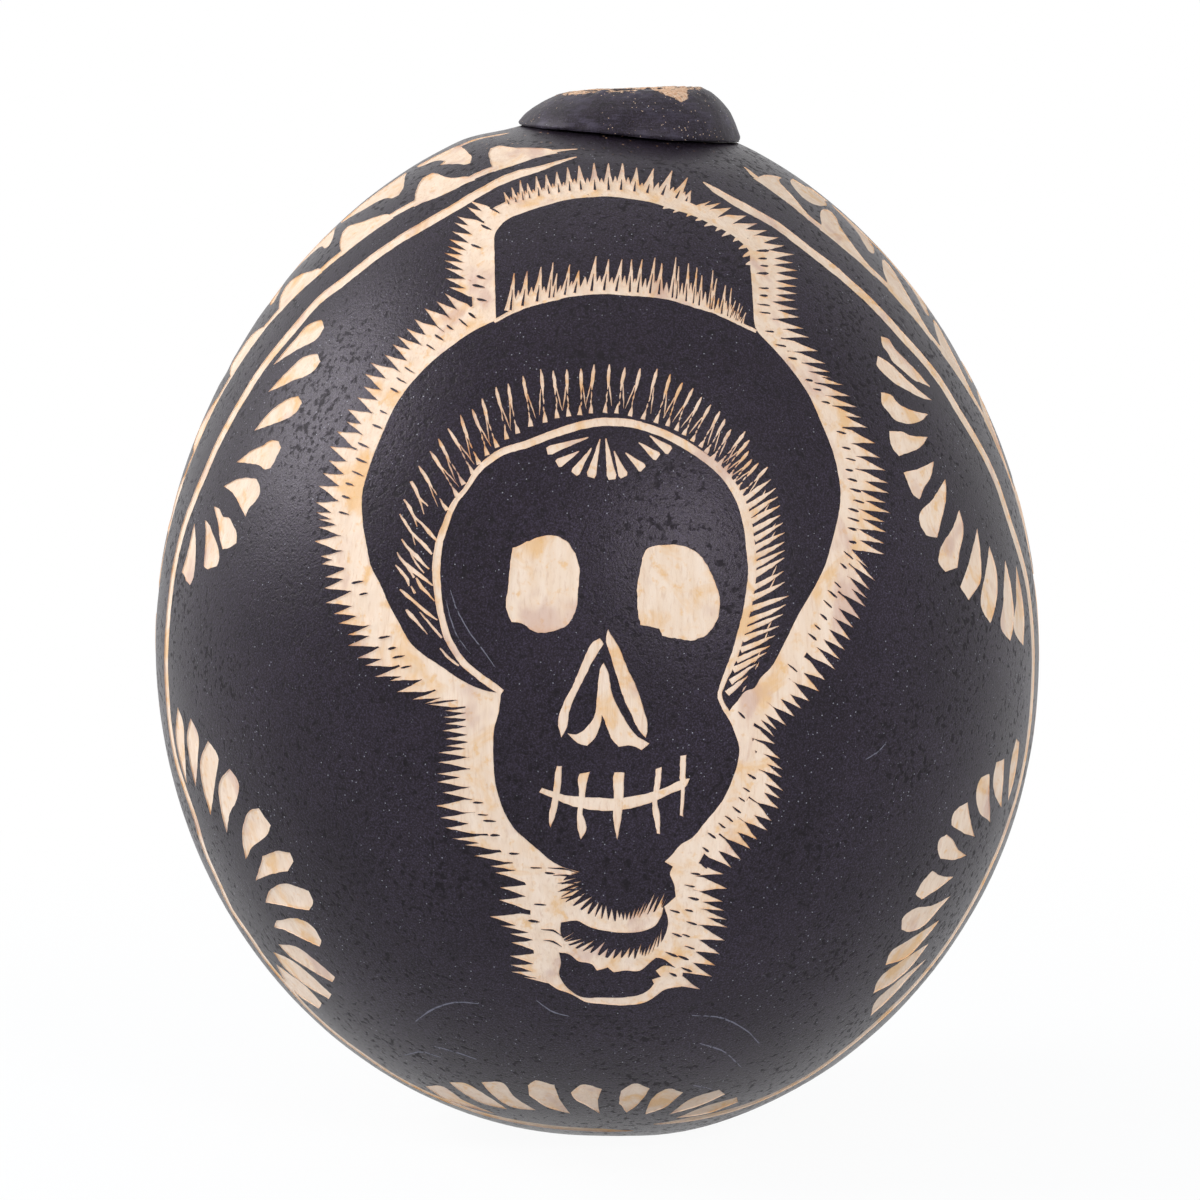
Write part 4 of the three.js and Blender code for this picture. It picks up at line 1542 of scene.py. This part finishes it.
def ring_outline(sizes):
    """The ring's section from the spigot's end out, up and back down its bore, and the lip's height."""
    outer, shoulder = sizes.ring_radius / MM, sizes.ring_shoulder / MM
    bore, spigot = sizes.bore_radius / MM, (sizes.bore_radius + sizes.spigot_wall) / MM
    end = -(sizes.rind_thickness + sizes.spigot_standout) / MM
    across, tall = outer - shoulder, (sizes.ring_height - sizes.ring_foot) / MM
    sweep = math.acos((sizes.lip_radius / MM - shoulder) / across)
    lip = sizes.ring_foot / MM + tall * math.sin(sweep)
    points = [(spigot - CHAMFER, end), (spigot, end + CHAMFER), (spigot, end + 2.0), (spigot, -0.5)]
    points += [(spigot + (outer - 0.35 - spigot) * k / 10, 0.0) for k in range(11)]
    points += [(outer - 0.15, 0.06), (outer - 0.04, 0.24)]
    for k in range(27):
        turn = sweep * k / 26
        flat = sizes.ring_flat / MM * math.sin(math.pi * k / 26)
        height = sizes.ring_foot / MM + tall * math.sin(turn)
        points.append((shoulder + across * math.cos(turn) - flat, height))
    points += [(9.55, lip + 0.02), (8.9, lip), (8.2, lip), (7.8, lip - 0.02), (bore + 0.25, lip - 0.12)]
    points += [(bore, lip - 0.45), (bore, -0.4), (bore, -1.8), (bore, -3.2), (bore, end + CHAMFER)]
    points += [(bore + CHAMFER, end)]
    return points, lip


class GOURD_OT_ring(bpy.types.Operator):
    """The raised ring round the mouth, with the spigot that plugs it into the rind"""

    bl_idname = "gourd.ring"
    bl_label = "Mouth ring"

    def execute(self, context):
        sizes, gourd, neck = measured(context)
        points, lip = ring_outline(sizes)
        mesh = spun(points, RING_STEPS)
        raw = mesh.verts.layers.float.new("raw")
        outer, settle = sizes.ring_radius / MM, sizes.ring_settle / MM
        drop = gourd.stalk - gourd.rise(outer) - sizes.seat_gap / MM
        for vertex in mesh.verts:
            x, y, z = vertex.co
            lump = noise.noise(Vector((x, y, z)) * 0.22) + 0.4 * noise.noise(Vector((x, y, z)) * 0.7)
            gap = 0.12 + seam(x, 0.5) + 0.1 * lump
            if z > LEVEL:
                edge = outer / math.hypot(x, y)
                under = seat_height(gourd, neck, x * edge, y * edge, gap)
                near_foot = 1 - smooth_step(z, 0.2, 3.4)
                rise = z * (1 + sizes.ring_rise * x / outer) - drop - settle
                vertex.co.z = rise + (under + drop + settle) * near_foot
                vertex[raw] = self.wear(vertex, Vector((x, y, z)), lump, lip, sizes)
            elif z > -LEVEL:
                vertex.co.z = seat_height(gourd, neck, x, y, gap)
            else:
                vertex[raw] = 1.0
        mesh.transform(neck)
        finish_piece(mesh, "turned_ring", [ring_finish(sizes)], "mouth_ring")
        return {"FINISHED"}

    def wear(self, vertex, spot, lump, lip, sizes):
        """Makes the crown uneven, with a droop at its left, and returns how raw the wood is there."""
        x, y, z = spot
        away, bearing = math.hypot(x, y), math.degrees(math.atan2(x, -y))
        bore, outer = sizes.bore_radius / MM, sizes.ring_radius / MM
        top = smooth_step(away, bore - 0.2, bore + 0.3)
        swelling = 1 + (0.012 * lump - 0.012) * (1 - smooth_step(away, outer, lip))
        vertex.co.x, vertex.co.y = x * swelling, y * swelling
        knob = math.exp(-(((bearing - KNOB_BEARING) / 5) ** 2))
        bump = 0.3 * knob * top * smooth_step(z, lip - 1.2, lip)
        ragged = noise.noise(Vector((x, y, 0)) * 1.1) + 0.6 * noise.noise(Vector((x, y, 5)) * 2.6)
        droop = 0.3 * smooth_step(-x, 4, 11)
        vertex.co.z += (0.1 * lump + 0.12 * ragged - 0.2 - droop) * top * smooth_step(z, 2, lip) + bump
        patch = max(0, 1 - abs(bearing - PATCH_BEARING) / 14)
        dyed_lip = smooth_step(bearing, 2, 7) * (1 - smooth_step(bearing, 15, 20))
        low = lip - 0.1 - 1.7 * patch - 0.3 * lump + 0.6 * dyed_lip
        return smooth_step(z, low - 0.7, low + 0.5)


class GOURD_OT_pitch(bpy.types.Operator):
    """The bed of pitch under the mouth ring"""

    bl_idname = "gourd.pitch"
    bl_label = "Pitch bed"

    def execute(self, context):
        sizes, gourd, neck = measured(context)
        inner, outer = mouth_radius(sizes), (sizes.ring_radius - sizes.pitch_setback) / MM
        under = [(inner + (outer - inner) * k / 10, -1.0) for k in range(11)]
        over = [(r, 1.0) for r, _ in under[::-1]]
        mesh = spun([*under, (outer + 0.15, 0.0), *over], PITCH_STEPS)
        for vertex in mesh.verts:
            x, y, z = vertex.co
            away = math.hypot(x, y)
            squeezed = 1 + 0.02 * noise.noise(Vector((x, y, 0)) * 0.5) * smooth_step(away, 12, 15)
            squeezed += 0.085 * smooth_step(x, 8, 13) * smooth_step(away, 12, 14.7)
            x, y = x * squeezed, y * squeezed
            gap = (0.5 + 0.42 * z) * (0.1 + seam(x, 0.45)) + 0.02
            vertex.co = (x, y, seat_height(gourd, neck, x, y, gap))
        mesh.transform(neck)
        finish_piece(mesh, "pitch_bed", [pitch_finish(sizes)], "pitch_seal")
        return {"FINISHED"}


class GOURD_OT_wax(bpy.types.Operator):
    """The coat of beeswax that seals the inside"""

    bl_idname = "gourd.wax"
    bl_label = "Wax lining"

    def execute(self, context):
        sizes, gourd, neck = measured(context)
        hole = mouth_radius(sizes)
        outside = (sizes.rind_thickness + sizes.wax_clearance) / MM
        mesh = bmesh.new()
        add_skin(mesh, gourd, neck, hole, outside, WAX_STEP)
        outer_skin = set(mesh.verts)
        add_skin(mesh, gourd, neck, hole, outside + sizes.wax_thickness / MM, WAX_STEP, outward=False)
        for vertex in mesh.verts:
            if vertex not in outer_skin:
                run = noise.noise(Vector((vertex.co.x * 0.12, vertex.co.y * 0.12, vertex.co.z * 0.03)))
                vertex.co += gourd.normal(vertex.co) * 0.35 * run
        close_wall(mesh)
        finish_piece(mesh, "wax_coat", [wax_finish(sizes)], "wax_lining")
        return {"FINISHED"}


class GOURD_OT_stage(bpy.types.Operator):
    """A pale floor, soft studio light and the photograph's camera"""

    bl_idname = "gourd.stage"
    bl_label = "Stage"

    def execute(self, context):
        sizes = context.scene.mezcal_gourd
        self.lay_floor(sizes)
        self.light(context, sizes)
        self.look(context)
        return {"FINISHED"}

    def lay_floor(self, sizes):
        """White paper that the camera sees as white, a little less so where the gourd stands."""
        mesh = bmesh.new()
        bmesh.ops.create_grid(mesh, x_segments=1, y_segments=1, size=3.0)
        recipe = Recipe("pale_floor")
        sockets = {"Base Color": (*sizes.floor, 1), "Roughness": 0.9}
        paper = recipe.node("ShaderNodeBsdfPrincipled", None, sockets)
        white = recipe.node("ShaderNodeEmission", None, {"Color": WHITE, "Strength": 1.0})
        away = recipe.node("ShaderNodeVectorMath", {"operation": "LENGTH"}, {0: recipe.place()}, "Value")
        shown = recipe.seen_white(paper, white, 0.95 + away.fade(70, 300) * 0.05)
        floor = add_object(mesh, "floor", [recipe.finish(shown)])
        floor.location = (0, 0, -0.0002)

    def light(self, context, sizes):
        """The three lamps, and surroundings that are seen and mirrored as white."""
        middle = Vector((0, 0, 0.08))
        for name, place, width, height, power in (
            ("key_lamp", (0.38, -0.84, 0.46), 0.26, 0.24, sizes.key_power),
            ("left_lamp", (-0.83, 0.06, 0.57), 0.5, 0.45, sizes.left_power),
            ("top_lamp", (-0.1, 0.05, 1.0), 0.6, 0.6, sizes.top_power),
        ):
            data = bpy.data.lights.new(name, "AREA")
            data.shape = "RECTANGLE"
            data.size, data.size_y = width, height
            data.energy = power
            lamp = bpy.data.objects.new(name, data)
            lamp.location = place
            lamp.rotation_euler = (middle - Vector(place)).to_track_quat("-Z", "Y").to_euler()
            context.collection.objects.link(lamp)
        recipe = Recipe("studio", "worlds")
        sockets = {"Color": (*sizes.sky_colour, 1), "Strength": sizes.sky}
        dim = recipe.node("ShaderNodeBackground", None, sockets)
        white = recipe.node("ShaderNodeBackground", None, {"Color": WHITE, "Strength": 1.0})
        context.scene.world = recipe.finish(recipe.seen_white(dim, white), "ShaderNodeOutputWorld")
        context.scene.view_settings.view_transform = "Standard"

    def look(self, context):
        """The camera, where the photograph was taken from."""
        data = bpy.data.cameras.new("camera")
        data.lens = EYE_LENS
        data.sensor_width = EYE_SENSOR
        data.clip_start, data.clip_end = 0.01, 20
        camera = bpy.data.objects.new("camera", data)
        back = Vector((0, -math.cos(EYE_RISE), math.sin(EYE_RISE)))
        camera.location = (EYE_TARGET + back * EYE_DISTANCE) * MM
        camera.rotation_euler = (math.pi / 2 - EYE_RISE, 0, 0)
        context.collection.objects.link(camera)
        context.scene.camera = camera


def length(name, description, default):
    return FloatProperty(
        name=name, description=description, default=default, min=0.0, unit="LENGTH", precision=5
    )


def colour(name, description, default):
    return FloatVectorProperty(
        name=name, description=description, default=default, size=3, min=0.0, max=1.0, subtype="COLOR"
    )


class GourdSizes(bpy.types.PropertyGroup):
    """Sizes and colours of the gourd"""

    belly_radius: length("Belly radius", "Half the gourd's width at its widest", 0.065)
    belly_to_stalk: length("Belly to stalk", "Height from the widest level to the stalk end", 0.0782)
    belly_to_blossom: length("Belly to blossom", "Depth from the widest level to the blossom end", 0.0731)
    stand_radius: length("Stand radius", "Radius of the flat that it stands on", 0.011)
    rind_thickness: length("Rind thickness", "Thickness of the dried rind", 0.0036)
    cut_depth: length("Cut depth", "Depth of the carving away from its edges", 0.00032)
    frame_line: length("Frame line", "Width of the line round the carved face", 0.0021)
    border_line: length("Border line", "Width of the lines that edge the wave", 0.0016)
    border_width: length("Border width", "Distance between the two lines that edge the wave", 0.015)
    wax_thickness: length("Wax thickness", "Thickness of the wax inside", 0.0008)
    wax_clearance: length("Wax clearance", "Gap between wax and rind", 0.0003)
    ring_offset: length("Ring offset", "How far the ring stands to the right of the stalk end", 0.0049)
    ring_lean: FloatProperty(
        name="Ring lean", description="Tilt of the ring to the right", default=math.radians(3.3),
        subtype="ANGLE",
    )
    ring_rise: FloatProperty(
        name="Ring rise", description="Share of its height that the ring gains on its tall side", default=0.24
    )
    ring_radius: length("Ring radius", "Radius of the ring at its foot", 0.0163)
    ring_height: length("Ring height", "Height at which the ring's rounded side would close", 0.0063)
    ring_shoulder: length("Ring shoulder", "Radius of the circle that its rounded side is drawn about", 0.008)
    ring_foot: length("Ring foot", "Upright part of its side, under the rounding", 0.0005)
    ring_flat: length("Ring flat", "How far its rounded side is flattened inwards at mid height", 0.0011)
    ring_settle: length("Ring settle", "How far the ring's crown has sunk with the rind", 0.00075)
    lip_radius: length("Lip radius", "Outer radius of the cut lip", 0.01)
    bore_radius: length("Bore radius", "Radius of the mouth's bore", 0.0072)
    spigot_wall: length("Spigot wall", "Thickness of the spigot's wall", 0.0015)
    spigot_clearance: length("Spigot clearance", "Gap between the spigot and its hole", 0.0003)
    spigot_standout: length("Spigot standout", "How far the spigot reaches past the rind", 0.001)
    seat_gap: length("Seat gap", "Room for pitch between ring and rind", 0.001)
    pitch_setback: length("Pitch setback", "How far the pitch stops short of the ring's edge", 0.0016)
    dye: colour("Dye", "Black dye on the rind", srgb(31, 24, 29))
    ring_dye: colour("Ring dye", "Black dye on the mouth ring", srgb(33, 26, 31))
    # Pale grains of the dye, partly painted glints of its grain
    pale_grain_and_painted_glint: colour("Pale dye", "Grains where the dye took less", srgb(66, 58, 74))
    # Painted sheen of the mouth ring: the colour of its paler brush-streaked patches
    ring_painted_sheen: colour("Ring sheen", "Paler brush marks on the mouth ring", srgb(72, 66, 80))
    dust: colour("Dust", "Pale grains on the dye", srgb(150, 150, 158))
    scuff: colour("Scuff", "Dye where it is scuffed", srgb(122, 120, 132))
    raw: colour("Raw rind", "Rind under the dye", srgb(236, 208, 182))
    raw_pale: colour("Pale raw rind", "Paler streaks of raw rind", srgb(243, 219, 197))
    raw_deep: colour("Deep raw rind", "Darker fibres of raw rind", srgb(208, 166, 134))
    stain: colour("Stain", "Ochre stains in raw rind", srgb(230, 178, 112))
    bruise: colour("Bruise", "Pinkish bruises in raw rind", srgb(200, 160, 146))
    lip: colour("Lip", "Cut lip of the ring", srgb(212, 164, 128))
    lip_pale: colour("Pale lip", "Paler fibres of the cut lip", srgb(240, 206, 176))
    pitch: colour("Pitch", "Pitch under the ring", srgb(22, 19, 19))
    wax: colour("Wax", "Beeswax inside", srgb(196, 148, 78))
    floor: colour("Floor", "Paper under the gourd", srgb(236, 242, 250))
    key_power: FloatProperty(name="Key lamp", description="Power of the main lamp in watts", default=4.1)
    left_power: FloatProperty(name="Left lamp", description="Power of the left lamp in watts", default=6.8)
    top_power: FloatProperty(name="Top lamp", description="Power of the lamp over the gourd", default=0.6)
    sky: FloatProperty(name="Surroundings", description="Light from all round the gourd", default=0.45)
    sky_colour: colour("Surroundings' colour", "Colour of the light from all round", srgb(236, 246, 255))


OPERATORS = (GOURD_OT_stage, GOURD_OT_shell, GOURD_OT_ring, GOURD_OT_pitch, GOURD_OT_wax)


class GOURD_PT_panel(bpy.types.Panel):
    """Builds the gourd, piece by piece"""

    bl_idname = "GOURD_PT_panel"
    bl_label = "Mezcal Gourd"
    bl_space_type = "VIEW_3D"
    bl_region_type = "UI"
    bl_category = "Gourd"

    def draw(self, context):
        for operator in OPERATORS:
            self.layout.operator(operator.bl_idname)
        for name in GourdSizes.__annotations__:
            self.layout.prop(context.scene.mezcal_gourd, name)


CLASSES = (GourdSizes, *OPERATORS, GOURD_PT_panel)


def register():
    for cls in CLASSES:
        bpy.utils.register_class(cls)
    bpy.types.Scene.mezcal_gourd = PointerProperty(type=GourdSizes)


def unregister():
    del bpy.types.Scene.mezcal_gourd
    for cls in reversed(CLASSES):
        bpy.utils.unregister_class(cls)


def main():
    register()
    bpy.ops.gourd.stage()
    bpy.ops.gourd.shell()
    bpy.ops.gourd.ring()
    bpy.ops.gourd.pitch()
    bpy.ops.gourd.wax()


if __name__ == "__main__":
    main()
